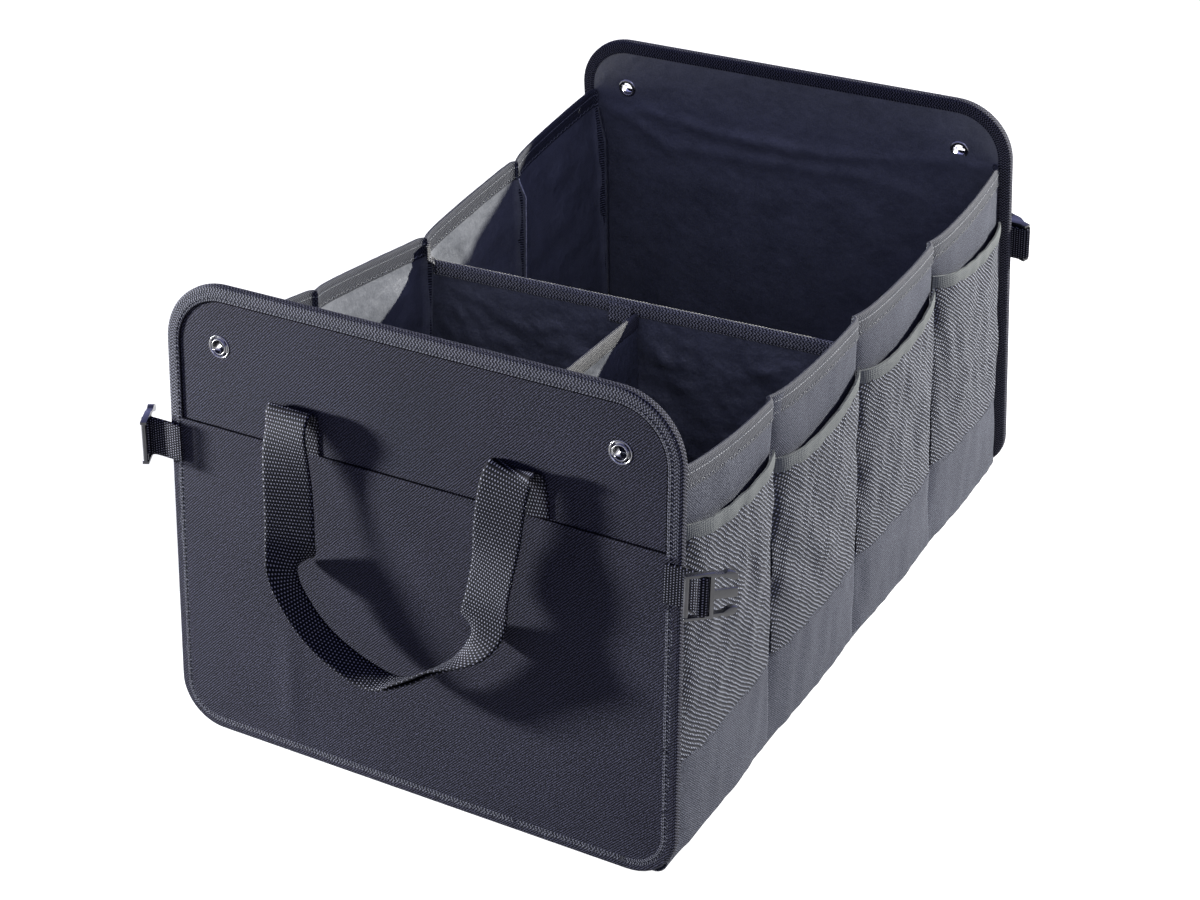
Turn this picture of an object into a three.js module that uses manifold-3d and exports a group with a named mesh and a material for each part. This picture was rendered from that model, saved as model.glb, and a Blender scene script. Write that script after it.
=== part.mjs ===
// A collapsible car trunk organizer: two stiffened end panels, soft pleated side walls with mesh
// pockets, a floor with loose boards and two sewn dividers. Millimetres, +Z up, X across, Y along.
// The origin is on the ground under the middle of the bag, and the front panel stands at -Y.
import * as THREE from 'three';
import { mergeVertices } from 'three/addons/utils/BufferGeometryUtils.js';
import Module from 'manifold-3d';

const wasm = await Module();
wasm.setup();

// Overall form
const LENGTH = 588;
const FOOT_WIDTH = 370;
const HEAD_WIDTH = 356;
const PANEL_HEIGHT = 321;
const FRONT_LEAN = 2.9;
const REAR_LEAN = 7.4;

// Sheet thicknesses and the space left between two layers that lie on each other
const CLOTH = 0.8;
const LINING = 0.7;
const BOARD = 2.2;
const TAPE = 0.9;
const HEM_FOLD = 0.5;
const GAP = 0.3;

// End panels
const HEAD_RADIUS = 44;
const FOOT_RADIUS = 32;
const CORNER_STEPS = 7;
const TAPE_WIDTH = 9.5;
const SEAM_HEIGHT = 225;

// Eyelets
const EYELET_SPACING = 278;
const EYELET_DROP = 40;
const EYELET_BORE_RADIUS = 4.3;
const EYELET_FLANGE_RADIUS = 7.5;
const EYELET_WALL = 0.6;
const EYELET_CROWN = 1.2;
const EYELET_STEPS = 16;

// Carrying handles
const HANDLE_WIDTH = 31;
const HANDLE_THICKNESS = 1.6;
const HANDLE_SPACING = 155;
const HANDLE_RISE = 34;
const HANDLE_DROP = 128;
const HANDLE_STAND = 20;
const HANDLE_STEPS = 46;

// Strap tabs and the buckle halves that hang on them
const STRAP_WIDTH = 25;
const STRAP = 1.3;
const STRAP_HEIGHT = 208;
const STRAP_SEWN = 14;
const FRONT_STRAP_REACH = 15.5;
const REAR_STRAP_REACH = 9;
const BAR_RADIUS = 1.7;
const BAR_CLEARANCE = 0.5;
const RING_STEPS = 16;
const FRAME_SIDE = 1.8;
const PLUG_THICKNESS = 4;
const PLUG_LADDER = 9.5;
const PLUG_CROSSBAR = 2.4;
const PLUG_PRONG = 14.5;
const PLUG_TONGUE_WIDTH = 6;
const PLUG_TONGUE = 1.8;
const SOCKET_LENGTH = 30;
const SOCKET_THICKNESS = 10;
const SOCKET_WALL = 1.3;
const SOCKET_WINDOW = 10;
const RIGHT_PLUG_SWING = 45;
const LEFT_PLUG_SWING = 62;
const SOCKET_SWING = 25;

// Side walls
const WALL_INSET = 9;
const WALL_FOOT = 10;
const SEGMENTS = 4;
const PLEAT_SHARPNESS = { ahead: 40, behind: 7 };
const WALL_CROWN = 2;
const RIM_HEIGHT = 272;
const RIM_TAPE_DEPTH = 14;
const PLEAT_AT_FOOT = 1.5;
const PLEAT_AT_HEM = 9;
const PLEAT_AT_RIM = 3;
const SIDES = [
  { name: 'left', sign: -1, rimSag: 28, sagSpread: 1.2, middlePull: 5, plugSwing: LEFT_PLUG_SWING },
  { name: 'right', sign: 1, rimSag: 14, sagSpread: 3, middlePull: 0, plugSwing: RIGHT_PLUG_SWING },
];

// Pockets on the side walls
const SKIRT_HEIGHT = 65;
const POCKET_TOP = 228;
const POCKET_HEM = 10;
const HEM_SAG = 5;
const HEM_LIFTS = [
  [10, 0],
  [-12, -2],
  [-11, 0],
  [5, 1],
];
const POCKET_ROOM = 8;
const POCKET_MARGIN = 0.03;

// Floor and dividers
const FLOOR_BOARD = 3;
const BOARD_MARGIN = 4;
const BOARD_CORNER = 8;
const DIVIDER = 2.4;
const DIVIDER_TOP = 222;
const DIVIDER_TAPE_DEPTH = 10;
const CROSS_DIVIDER_X = 2;
const CROSS_DIVIDER_DROP = 5;
const DIVIDER_TAB_LENGTH = 19;
const DIVIDER_TAB_HEIGHT = 14;
const DIVIDER_TAB = 1.4;

// Values that follow from the ones above
const OUTER_CLOTH = CLOTH + HEM_FOLD;
const LINING_FACE = TAPE + GAP;
const BOARD_FACE = LINING_FACE + LINING + GAP;
const CLOTH_FACE = BOARD_FACE + BOARD + GAP;
const PANEL_THICKNESS = CLOTH_FACE + OUTER_CLOTH + GAP + TAPE;
const UPPER_CLOTH_OUT = CLOTH_FACE + CLOTH;
const SKIRT_TOP = WALL_FOOT + SKIRT_HEIGHT;
const STRAP_FACE = PANEL_THICKNESS + GAP;
const LOOP_INNER = BAR_RADIUS + BAR_CLEARANCE;
const LOOP_OUTER = LOOP_INNER + STRAP;
const FRAME_OPENING = STRAP_WIDTH / 2 + GAP;
const FRAME_HALF = FRAME_OPENING + FRAME_SIDE;
const rad = THREE.MathUtils.degToRad;
const lerp = THREE.MathUtils.lerp;

const finish = (color, roughness, metalness = 0) => new THREE.MeshStandardMaterial({ color, roughness, metalness });
const FINISHES = {
  twill: finish(0x33353d, 0.85),
  liningCloth: finish(0x1b1c24, 0.55),
  webbing: finish(0x17181d, 0.8),
  tape: finish(0x2b2d33, 0.85),
  mesh: finish(0x3f444a, 0.9),
  elastic: finish(0x7c8182, 0.8),
  board: finish(0x3a3630, 0.8),
  metal: finish(0xc9cac6, 0.25, 1),
  plastic: finish(0x1c1d20, 0.4),
};

function node(name, geometry, material) {
  geometry.computeVertexNormals();
  const mesh = new THREE.Mesh(geometry, material);
  mesh.name = name;
  return mesh;
}

function toSolid(geometry) {
  const bare = geometry.clone();
  bare.deleteAttribute('normal');
  bare.deleteAttribute('uv');
  const merged = mergeVertices(bare, 1e-4);
  return new wasm.Manifold(
    new wasm.Mesh({
      numProp: 3,
      vertProperties: Float32Array.from(merged.attributes.position.array),
      triVerts: Uint32Array.from(merged.index.array),
    }),
  );
}

function toGeometry(solid) {
  const mesh = solid.getMesh();
  const geometry = new THREE.BufferGeometry();
  geometry.setAttribute('position', new THREE.BufferAttribute(mesh.vertProperties, 3));
  geometry.setIndex(new THREE.BufferAttribute(mesh.triVerts, 1));
  return geometry;
}

// Projections for closing the ends of a loft that runs along one of the three axes
const ALONG_X = (p) => new THREE.Vector2(p.y, p.z);
const ALONG_Y = (p) => new THREE.Vector2(p.x, p.z);
const ALONG_Z = (p) => new THREE.Vector2(p.x, p.y);

// Joins equal rings of points into one closed body. Each ring turns counter-clockwise seen from the start.
// The second half of a ring is the back of a thin sheet, so its quads are cut along the same diagonal.
function loft(rings, flatten) {
  const count = rings[0].length;
  const index = [];
  for (let i = 0; i + 1 < rings.length; i += 1) {
    for (let j = 0; j < count; j += 1) {
      const a = i * count + j;
      const b = i * count + ((j + 1) % count);
      const [c, d] = [a + count, b + count];
      if (j < count / 2) index.push(a, d, b, a, c, d);
      else index.push(a, c, b, b, c, d);
    }
  }
  const cap = (ring) =>
    THREE.ShapeUtils.triangulateShape(ring.map(flatten), []).map((corners) => corners.sort((a, b) => a - b));
  for (const [a, b, c] of cap(rings[0])) index.push(a, b, c);
  const last = (rings.length - 1) * count;
  for (const [a, b, c] of cap(rings[rings.length - 1])) index.push(last + a, last + c, last + b);
  const geometry = new THREE.BufferGeometry();
  const points = rings.flat().flatMap((p) => p.toArray());
  geometry.setAttribute('position', new THREE.Float32BufferAttribute(points, 3));
  geometry.setIndex(index);
  return geometry;
}

function box(xLow, xHigh, yLow, yHigh, zLow, zHigh) {
  const geometry = new THREE.BoxGeometry(xHigh - xLow, yHigh - yLow, zHigh - zLow);
  return geometry.translate((xLow + xHigh) / 2, (yLow + yHigh) / 2, (zLow + zHigh) / 2);
}

// The outline of an end panel, drawn in from its taped edge
function panelOutline(inset) {
  const taper = Math.atan2((FOOT_WIDTH - HEAD_WIDTH) / 2, PANEL_HEIGHT);
  const corner = (radius, height) => {
    const fromSide = radius + height * Math.sin(taper);
    return { radius, x: (FOOT_WIDTH / 2) - fromSide / Math.cos(taper), y: height };
  };
  const foot = corner(FOOT_RADIUS, FOOT_RADIUS);
  const head = corner(HEAD_RADIUS, PANEL_HEIGHT - HEAD_RADIUS);
  const arc = (c, mirror, from, to) =>
    Array.from({ length: CORNER_STEPS + 1 }, (_, i) => {
      const angle = lerp(from, to, i / CORNER_STEPS);
      const reach = c.radius - inset;
      return new THREE.Vector2(mirror * (c.x + reach * Math.cos(angle)), c.y + reach * Math.sin(angle));
    });
  return [
    ...arc(foot, 1, -Math.PI / 2, taper),
    ...arc(head, 1, taper, Math.PI / 2),
    ...arc(head, -1, Math.PI / 2, taper),
    ...arc(foot, -1, taper, -Math.PI / 2),
  ];
}

// A flat sheet of an end panel: its edge is inset, and it reaches outwards from a depth in the panel
function panelSheet(inset, depth, thickness) {
  const geometry = new THREE.ExtrudeGeometry(new THREE.Shape(panelOutline(inset)), {
    depth: thickness,
    bevelEnabled: false,
  });
  return toSolid(geometry.rotateX(Math.PI / 2).translate(0, -depth, 0));
}

function eyeletHoles() {
  const radius = EYELET_BORE_RADIUS + EYELET_WALL + GAP;
  const pin = (side) =>
    toSolid(
      new THREE.CylinderGeometry(radius, radius, 4 * PANEL_THICKNESS, EYELET_STEPS)
        .translate((side * EYELET_SPACING) / 2, 0, PANEL_HEIGHT - EYELET_DROP),
    );
  return pin(-1).add(pin(1));
}

function ring(profile) {
  const points = [...profile, profile[0]].map(([radius, along]) => new THREE.Vector2(radius, along));
  return new THREE.LatheGeometry(points, EYELET_STEPS);
}

// A rolled metal eyelet seen on the outer cloth, with its barrel through the panel
function eyelet() {
  const barrel = EYELET_BORE_RADIUS + EYELET_WALL;
  const length = UPPER_CLOTH_OUT;
  return ring([
    [EYELET_BORE_RADIUS, -length],
    [barrel, -length],
    [barrel, GAP],
    [EYELET_FLANGE_RADIUS, GAP],
    [EYELET_FLANGE_RADIUS, GAP + EYELET_CROWN / 3],
    [lerp(barrel, EYELET_FLANGE_RADIUS, 0.5), GAP + EYELET_CROWN],
    [EYELET_BORE_RADIUS, GAP + EYELET_CROWN / 2],
  ]);
}

function eyeletWasher() {
  const inner = EYELET_BORE_RADIUS + EYELET_WALL + GAP;
  return ring([
    [inner, 0],
    [EYELET_FLANGE_RADIUS, 0],
    [EYELET_FLANGE_RADIUS, TAPE],
    [inner, TAPE],
  ]);
}

// The route of a handle in its panel: across, up, out, and how far its web has turned from lying flat
function handleRoute() {
  const half = HANDLE_SPACING / 2;
  const top = SEAM_HEIGHT + HANDLE_RISE;
  const low = SEAM_HEIGHT - HANDLE_DROP;
  const near = UPPER_CLOTH_OUT + GAP + HANDLE_THICKNESS / 2;
  const far = near + HANDLE_STAND;
  const fold = near + HANDLE_STAND * 0.3;
  return [
    [-half + 1, SEAM_HEIGHT + GAP, near, 90],
    [-half + 1, top - 12, near + 0.4, 90],
    [-half + 1, top - 3, near + 2.6, 90],
    [-half, top, fold, 90],
    [-half, top - 3, near + 9, 90],
    [-half - 2, top - 19, near + 10.5, 90],
    [-half - 3, top - 41, near + 11, 90],
    [-half - 1, top - 64, near + 13, 90],
    [-half + 2, top - 91, near + 15.5, 90],
    [-half + 5, top - 107, near + 17, 78],
    [-half + 9, low + 41, near + 18, 48],
    [-half + 16, low + 30, far - 1, 24],
    [-half + 27, low + 19, far, 20],
    [-half + 41, low + 9, far, 21],
    [-half + 57, low + 3, far, 26],
    [-half + 73, low, far, 34],
    [-half + 88, low + 1.5, far, 43],
    [half - 54, low + 7, far, 50],
    [half - 39, low + 16, far - 0.5, 56],
    [half - 26, low + 29, far - 1, 63],
    [half - 17, low + 45, far - 2, 74],
    [half - 11.5, low + 63, far - 3, 85],
    [half - 8.5, low + 86, near + 15, 90],
    [half - 5.5, low + 113, near + 13, 90],
    [half - 3.5, low + 139, near + 11, 90],
    [half - 1.5, top - 4, near + 9, 90],
    [half - 0.5, top, fold, 90],
    [half, top - 3, near + 2.6, 90],
    [half + 1, top - 12, near + 0.4, 90],
    [half + 1.5, SEAM_HEIGHT + GAP, near, 90],
  ];
}

// A webbing handle: a flat band whose ends are sewn under the lower cloth's edge and whose bight hangs
// down in front. At 90 degrees the band faces the panel; nearer 0 its faces look up and down.
function handle() {
  const route = handleRoute();
  const path = new THREE.CatmullRomCurve3(route.map(([s, h, d]) => new THREE.Vector3(s, -d, h)), false, 'centripetal');
  const turns = new THREE.CatmullRomCurve3(route.map(([, , , turn]) => new THREE.Vector3(turn, 0, 0)));
  const out = new THREE.Vector3(0, -1, 0);
  const rings = [];
  for (let i = 0; i <= HANDLE_STEPS; i += 1) {
    const u = i / HANDLE_STEPS;
    const at = path.getPoint(u);
    const along = path.getTangent(u);
    const turn = rad(THREE.MathUtils.clamp(turns.getPoint(u).x, 0, 90));
    // On the rising and falling stretches of a leg the band keeps facing the panel
    const inwards = at.z > SEAM_HEIGHT - HANDLE_RISE
      ? new THREE.Vector3(-Math.sign(at.x), 0, 0)
      : new THREE.Vector3(-along.z, 0, along.x).normalize();
    const width = inwards.multiplyScalar(Math.sin(turn)).addScaledVector(out, Math.cos(turn)).normalize();
    width.addScaledVector(along, -width.dot(along)).normalize();
    const face = new THREE.Vector3().crossVectors(along, width).normalize();
    const corner = (across, off) =>
      at.clone().addScaledVector(width, (across * HANDLE_WIDTH) / 2).addScaledVector(face, (off * HANDLE_THICKNESS) / 2);
    rings.push([corner(-1, -1), corner(-1, 1), corner(1, 1), corner(1, -1)]);
  }
  return loft(rings, ALONG_Z);
}

function panelHalfWidth(height) {
  return lerp(FOOT_WIDTH, HEAD_WIDTH, height / PANEL_HEIGHT) / 2;
}

// Where a buckle half hangs: on the bar inside the loop at a strap tab's end
function loopCentre(side, reach) {
  const across = side * (panelHalfWidth(STRAP_HEIGHT) + reach);
  return new THREE.Vector3(across, -(STRAP_FACE + LOOP_OUTER), STRAP_HEIGHT);
}

// A strap tab: two layers of webbing sewn to the panel's face, with a loop round the buckle's bar
function strapTab(side, reach) {
  const edge = panelHalfWidth(STRAP_HEIGHT);
  const middle = { x: edge + reach, y: STRAP_FACE + LOOP_OUTER };
  const outerFace = STRAP_FACE + 2 * STRAP;
  const end = Math.PI + Math.asin((middle.y - outerFace) / LOOP_OUTER);
  const drawn = (x, y) => new THREE.Vector2(side * x, -y);
  const circle = (radius, from, to) =>
    Array.from({ length: RING_STEPS + 1 }, (_, i) => {
      const angle = lerp(from, to, i / RING_STEPS);
      return drawn(middle.x + radius * Math.cos(angle), middle.y + radius * Math.sin(angle));
    });
  const outline = [
    drawn(edge - STRAP_SEWN, STRAP_FACE),
    ...circle(LOOP_OUTER, -Math.PI / 2, end),
    drawn(edge - STRAP_SEWN, outerFace),
  ];
  const shape = new THREE.Shape(side > 0 ? outline.reverse() : outline);
  shape.holes.push(new THREE.Path(circle(LOOP_INNER, 0, 2 * Math.PI).slice(1)));
  const geometry = new THREE.ExtrudeGeometry(shape, { depth: STRAP_WIDTH, bevelEnabled: false });
  return geometry.translate(0, 0, STRAP_HEIGHT - STRAP_WIDTH / 2);
}

function bar(at, radius, half) {
  const geometry = new THREE.CylinderGeometry(radius, radius, 2 * half, RING_STEPS);
  return toSolid(geometry.rotateX(Math.PI / 2).translate(at, 0, 0));
}

function mirrored(solid) {
  return solid.add(solid.mirror([0, 0, 1]));
}

// The buckle's plug, pointing along +X from the bar that its strap holds
function plug() {
  const base = LOOP_OUTER + BAR_CLEARANCE + PLUG_CROSSBAR;
  const half = PLUG_THICKNESS / 2;
  const cheek = toSolid(box(-PLUG_LADDER - BAR_RADIUS, base, -half, half, FRAME_OPENING, FRAME_HALF));
  const crossbar = toSolid(box(base - PLUG_CROSSBAR, base, -half, half, -FRAME_HALF, FRAME_HALF));
  const tongueHalf = PLUG_TONGUE_WIDTH / 2;
  const tongue = toSolid(box(base - 1, base + PLUG_PRONG, -PLUG_TONGUE / 2, PLUG_TONGUE / 2, -tongueHalf, tongueHalf));
  const outline = new THREE.Shape();
  outline.moveTo(base - 1, FRAME_HALF - 0.6);
  outline.lineTo(base + 0.42 * PLUG_PRONG, FRAME_HALF - 1);
  outline.quadraticCurveTo(base + 0.5 * PLUG_PRONG, FRAME_HALF + 0.4, base + 0.64 * PLUG_PRONG, FRAME_HALF);
  outline.quadraticCurveTo(base + PLUG_PRONG, FRAME_HALF - 1, base + PLUG_PRONG, FRAME_HALF - 5);
  outline.quadraticCurveTo(base + 0.84 * PLUG_PRONG, FRAME_HALF - 6.6, base + 0.6 * PLUG_PRONG, FRAME_HALF - 4.8);
  outline.lineTo(base + 0.42 * PLUG_PRONG, FRAME_HALF - 3);
  outline.lineTo(base - 1, FRAME_HALF - 2.6);
  const prong = new THREE.ExtrudeGeometry(outline, { depth: PLUG_THICKNESS, bevelEnabled: false, curveSegments: 4 });
  prong.rotateX(Math.PI / 2).translate(0, half, 0);
  const frame = mirrored(cheek).add(crossbar).add(bar(0, BAR_RADIUS, FRAME_HALF - 0.5));
  const ladder = bar(-PLUG_LADDER, BAR_RADIUS, FRAME_HALF - 0.5);
  return toGeometry(frame.add(ladder).add(tongue).add(mirrored(toSolid(prong))));
}

// The buckle's socket, pointing along +X from its bar: a flat box with a mouth and two side windows
function socket() {
  const start = LOOP_OUTER + BAR_CLEARANCE;
  const mouth = start + SOCKET_LENGTH;
  const half = SOCKET_THICKNESS / 2;
  const halfWidth = FRAME_HALF + SOCKET_WALL / 2;
  const neck = 0.5 * half;
  const shoulder = start + 0.2 * SOCKET_LENGTH;
  const profile = new THREE.Shape([
    new THREE.Vector2(start, -neck),
    new THREE.Vector2(shoulder, -half),
    new THREE.Vector2(mouth - 2, -half),
    new THREE.Vector2(mouth, -half + 0.8),
    new THREE.Vector2(mouth, half - 0.8),
    new THREE.Vector2(mouth - 2, half),
    new THREE.Vector2(shoulder, half),
    new THREE.Vector2(start, neck),
  ]);
  const shell = new THREE.ExtrudeGeometry(profile, { depth: 2 * halfWidth, bevelEnabled: false });
  shell.translate(0, 0, -halfWidth);
  const inside = halfWidth - SOCKET_WALL;
  const hollow = half - SOCKET_WALL;
  const cavity = toSolid(box(shoulder, mouth + 1, -hollow, hollow, -inside, inside));
  const windowFrom = shoulder + 0.2 * SOCKET_LENGTH;
  const windows = toSolid(box(windowFrom, windowFrom + SOCKET_WINDOW, -hollow, hollow, -2 * inside, 2 * inside));
  const cheek = toSolid(box(-BAR_RADIUS, start + 1, -neck, neck, FRAME_OPENING, halfWidth));
  const body = toSolid(shell).subtract(cavity).subtract(windows);
  return toGeometry(body.add(mirrored(cheek)).add(bar(0, BAR_RADIUS, halfWidth - 0.5)));
}

// One end panel in its own frame: X across, outwards is -Y, Z up the panel from its foot
function endPanel(name) {
  const panel = new THREE.Group();
  const holes = eyeletHoles();
  const edge = TAPE + GAP;
  const above = toSolid(box(-FOOT_WIDTH, FOOT_WIDTH, -FOOT_WIDTH, FOOT_WIDTH, SEAM_HEIGHT + GAP, 2 * PANEL_HEIGHT));
  const below = toSolid(box(-FOOT_WIDTH, FOOT_WIDTH, -FOOT_WIDTH, FOOT_WIDTH, -PANEL_HEIGHT, SEAM_HEIGHT));
  const lining = panelSheet(edge, LINING_FACE, LINING).subtract(holes);
  const board = panelSheet(edge, BOARD_FACE, BOARD).subtract(holes);
  const upper = panelSheet(edge, CLOTH_FACE, CLOTH).intersect(above).subtract(holes);
  const lower = panelSheet(edge, CLOTH_FACE, OUTER_CLOTH).intersect(below);
  const tape = panelSheet(0, 0, PANEL_THICKNESS)
    .subtract(panelSheet(TAPE, TAPE, PANEL_THICKNESS - 2 * TAPE))
    .subtract(panelSheet(TAPE_WIDTH, -TAPE, PANEL_THICKNESS + 2 * TAPE));
  panel.add(
    node(`${name}_lining`, toGeometry(lining), FINISHES.liningCloth),
    node(`${name}_board`, toGeometry(board), FINISHES.board),
    node(`${name}_upper_cloth`, toGeometry(upper), FINISHES.twill),
    node(`${name}_lower_cloth`, toGeometry(lower), FINISHES.twill),
    node(`${name}_edge_tape`, toGeometry(tape), FINISHES.tape),
    node(`${name}_handle`, handle(), FINISHES.webbing),
  );
  return panel;
}

// Adds what sits at the two sides of a panel. flip is -1 where the panel has been turned to face the rear.
function addFittings(panel, name, flip, reach, makeHalf, halfName, swing) {
  for (const side of SIDES) {
    const local = side.sign * flip;
    const flange = node(`${name}_${side.name}_eyelet`, eyelet(), FINISHES.metal);
    flange.position.set((local * EYELET_SPACING) / 2, -UPPER_CLOTH_OUT, PANEL_HEIGHT - EYELET_DROP);
    flange.rotation.x = Math.PI;
    const washer = node(`${name}_${side.name}_eyelet_washer`, eyeletWasher(), FINISHES.metal);
    washer.position.copy(flange.position).setY(-TAPE);
    const tab = node(`${name}_${side.name}_strap_tab`, strapTab(local, reach), FINISHES.webbing);
    const half = node(`${name}_${side.name}_${halfName}`, makeHalf(), FINISHES.plastic);
    half.position.copy(loopCentre(local, reach));
    half.rotation.z = swing(side, local);
    panel.add(flange, washer, tab, half);
  }
}

// Distance from the bag's middle to a depth inside a leaning panel, at a height above the ground
function panelFace(lean, height, depth = 0) {
  const angle = rad(lean);
  const foot = LENGTH / 2 - PANEL_THICKNESS * Math.cos(angle);
  return foot - height * Math.tan(angle) + depth / Math.cos(angle);
}

// A place along the bag between the two panels: 0 at the front panel, 1 at the rear one
function lengthwise(t, height) {
  const front = GAP - panelFace(FRONT_LEAN, height);
  const rear = panelFace(REAR_LEAN, height) - GAP;
  return lerp(front, rear, t);
}

function rimHeight(side, t) {
  return RIM_HEIGHT - side.rimSag * (1 - Math.abs(2 * t - 1) ** side.sagSpread);
}

// How far the wall is drawn in at the sewn pleats, least at the foot and the rim
function pleatDepth(height, rim) {
  const hem = (height - WALL_FOOT) / (POCKET_TOP - WALL_FOOT);
  if (hem <= 1) return lerp(PLEAT_AT_FOOT, PLEAT_AT_HEM, hem);
  const band = rim - RIM_TAPE_DEPTH - POCKET_TOP;
  return lerp(PLEAT_AT_HEM, PLEAT_AT_RIM, Math.min(1, (height - POCKET_TOP) / band));
}

// Distance from the middle of the bag to the middle of a side wall's two layers. Each pleat folds in
// sharply on its front side and comes out again slowly towards the rear.
function wallReach(side, t, height) {
  const f = (t * SEGMENTS) % 1;
  const sharpness = f > 0.5 ? PLEAT_SHARPNESS.ahead : PLEAT_SHARPNESS.behind;
  const taken = Math.abs(2 * f - 1) ** sharpness;
  const crown = WALL_CROWN * (1 - (2 * f - 1) ** 2);
  const pull = (side.middlePull * (1 - Math.abs(2 * t - 1)) * height) / RIM_HEIGHT;
  return panelHalfWidth(height) - WALL_INSET - pleatDepth(height, rimHeight(side, t)) * taken + crown - pull;
}

// Extra room that a pocket takes in front of the wall, most at its middle and its top
function pocketRoom(t, height) {
  const f = (t * SEGMENTS) % 1;
  const rise = (height - WALL_FOOT) / (POCKET_TOP - WALL_FOOT);
  return POCKET_ROOM * Math.max(0, rise) * (1 - (2 * f - 1) ** 4);
}

const SEGMENT_STATIONS = [POCKET_MARGIN, 0.1, 0.25, 0.5, 0.75, 0.9, 1 - POCKET_MARGIN];
const WALL_STATIONS = [
  ...Array.from({ length: SEGMENTS }, (_, k) => [0, ...SEGMENT_STATIONS].map((f) => (k + f) / SEGMENTS)).flat(),
  1,
];

// The top edge of a pocket droops between its ends, which are sewn at slightly different heights
function hemTop(t) {
  const k = Math.min(SEGMENTS - 1, Math.floor(t * SEGMENTS));
  const f = t * SEGMENTS - k;
  return POCKET_TOP + lerp(...HEM_LIFTS[k], f) - HEM_SAG * Math.sin(Math.PI * f);
}

// A closed strip on a side wall. A layer is given by how far its two faces lie from the wall's middle.
function wallStrip(side, stations, rows, layer, room = () => 0) {
  const rings = stations.map((t) => {
    const heights = rows(rimHeight(side, t), t);
    const point = (offset, height) => {
      const across = wallReach(side, t, height) + offset + room(t, height);
      return new THREE.Vector3(side.sign * across, lengthwise(t, height), height);
    };
    const outer = heights.map((height) => point(layer.outer, height));
    const inner = heights.map((height) => point(layer.inner, height));
    const around = [...outer, ...inner.reverse()];
    return side.sign > 0 ? around : around.reverse();
  });
  return loft(rings, ALONG_Y);
}

const WALL_CLOTH = { inner: GAP / 2, outer: GAP / 2 + CLOTH };
const WALL_LINING = { inner: -GAP / 2 - LINING, outer: -GAP / 2 };
const POCKET_LAYER = { inner: WALL_CLOTH.outer + GAP, outer: WALL_CLOTH.outer + GAP + CLOTH };
const MESH_MIDDLE = (SKIRT_TOP + POCKET_TOP) / 2;
const wallRows = (rim) => [
  WALL_FOOT,
  SKIRT_TOP,
  MESH_MIDDLE,
  POCKET_TOP - POCKET_HEM,
  POCKET_TOP,
  rim - RIM_TAPE_DEPTH,
  rim,
];

// The folded tape over a wall's top edge
function rimTape(side) {
  const rings = WALL_STATIONS.map((t) => {
    const rim = rimHeight(side, t);
    const point = (offset, height) => {
      const level = Math.min(height, rim);
      return new THREE.Vector3(side.sign * (wallReach(side, t, level) + offset), lengthwise(t, height), height);
    };
    const [outside, inside] = [WALL_CLOTH.outer + GAP, WALL_LINING.inner - GAP];
    const foot = rim - RIM_TAPE_DEPTH;
    const around = [
      point(outside + TAPE, foot),
      point(outside + TAPE, rim + GAP + TAPE),
      point(inside - TAPE, rim + GAP + TAPE),
      point(inside - TAPE, foot),
      point(inside, foot),
      point(inside, rim + GAP),
      point(outside, rim + GAP),
      point(outside, foot),
    ];
    return side.sign > 0 ? around : around.reverse();
  });
  return loft(rings, ALONG_Y);
}

function sideWall(side) {
  const wall = new THREE.Group();
  wall.add(
    node(`${side.name}_wall_cloth`, wallStrip(side, WALL_STATIONS, wallRows, WALL_CLOTH), FINISHES.twill),
    node(`${side.name}_wall_lining`, wallStrip(side, WALL_STATIONS, wallRows, WALL_LINING), FINISHES.liningCloth),
    node(`${side.name}_rim_tape`, rimTape(side), FINISHES.tape),
    node(
      `${side.name}_skirt`,
      wallStrip(side, WALL_STATIONS, () => [WALL_FOOT, SKIRT_TOP], POCKET_LAYER, pocketRoom),
      FINISHES.twill,
    ),
  );
  const meshRows = (rim, t) => [SKIRT_TOP + GAP, MESH_MIDDLE, hemTop(t) - POCKET_HEM - GAP];
  const hemRows = (rim, t) => [hemTop(t) - POCKET_HEM, hemTop(t)];
  for (let k = 0; k < SEGMENTS; k += 1) {
    const stations = SEGMENT_STATIONS.map((f) => (k + f) / SEGMENTS);
    const mesh = wallStrip(side, stations, meshRows, POCKET_LAYER, pocketRoom);
    const hem = wallStrip(side, stations, hemRows, POCKET_LAYER, pocketRoom);
    wall.add(
      node(`${side.name}_pocket_mesh_${k + 1}`, mesh, FINISHES.mesh),
      node(`${side.name}_pocket_hem_${k + 1}`, hem, FINISHES.elastic),
    );
  }
  return wall;
}

// The floor cloth lies flat and turns up at the sides to meet the walls' lower edges
function floorCloth() {
  const top = WALL_FOOT - GAP;
  const reach = panelHalfWidth(WALL_FOOT) - WALL_INSET + WALL_CLOTH.outer;
  const turn = (radius) =>
    [0, 30, 60, 90].map((degrees) => ({
      x: reach - top + radius * Math.sin(rad(degrees)),
      z: top - radius * Math.cos(rad(degrees)),
    }));
  const under = turn(top);
  const over = turn(top - CLOTH);
  const left = (p) => ({ x: -p.x, z: p.z });
  const around = [
    ...under.map(left).reverse(),
    ...under,
    ...[...over].reverse(),
    ...over.map(left),
  ];
  const rings = [0, 1].map((t) => around.map((p) => new THREE.Vector3(p.x, lengthwise(t, p.z), p.z)));
  return loft(rings, ALONG_Y);
}

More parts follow.
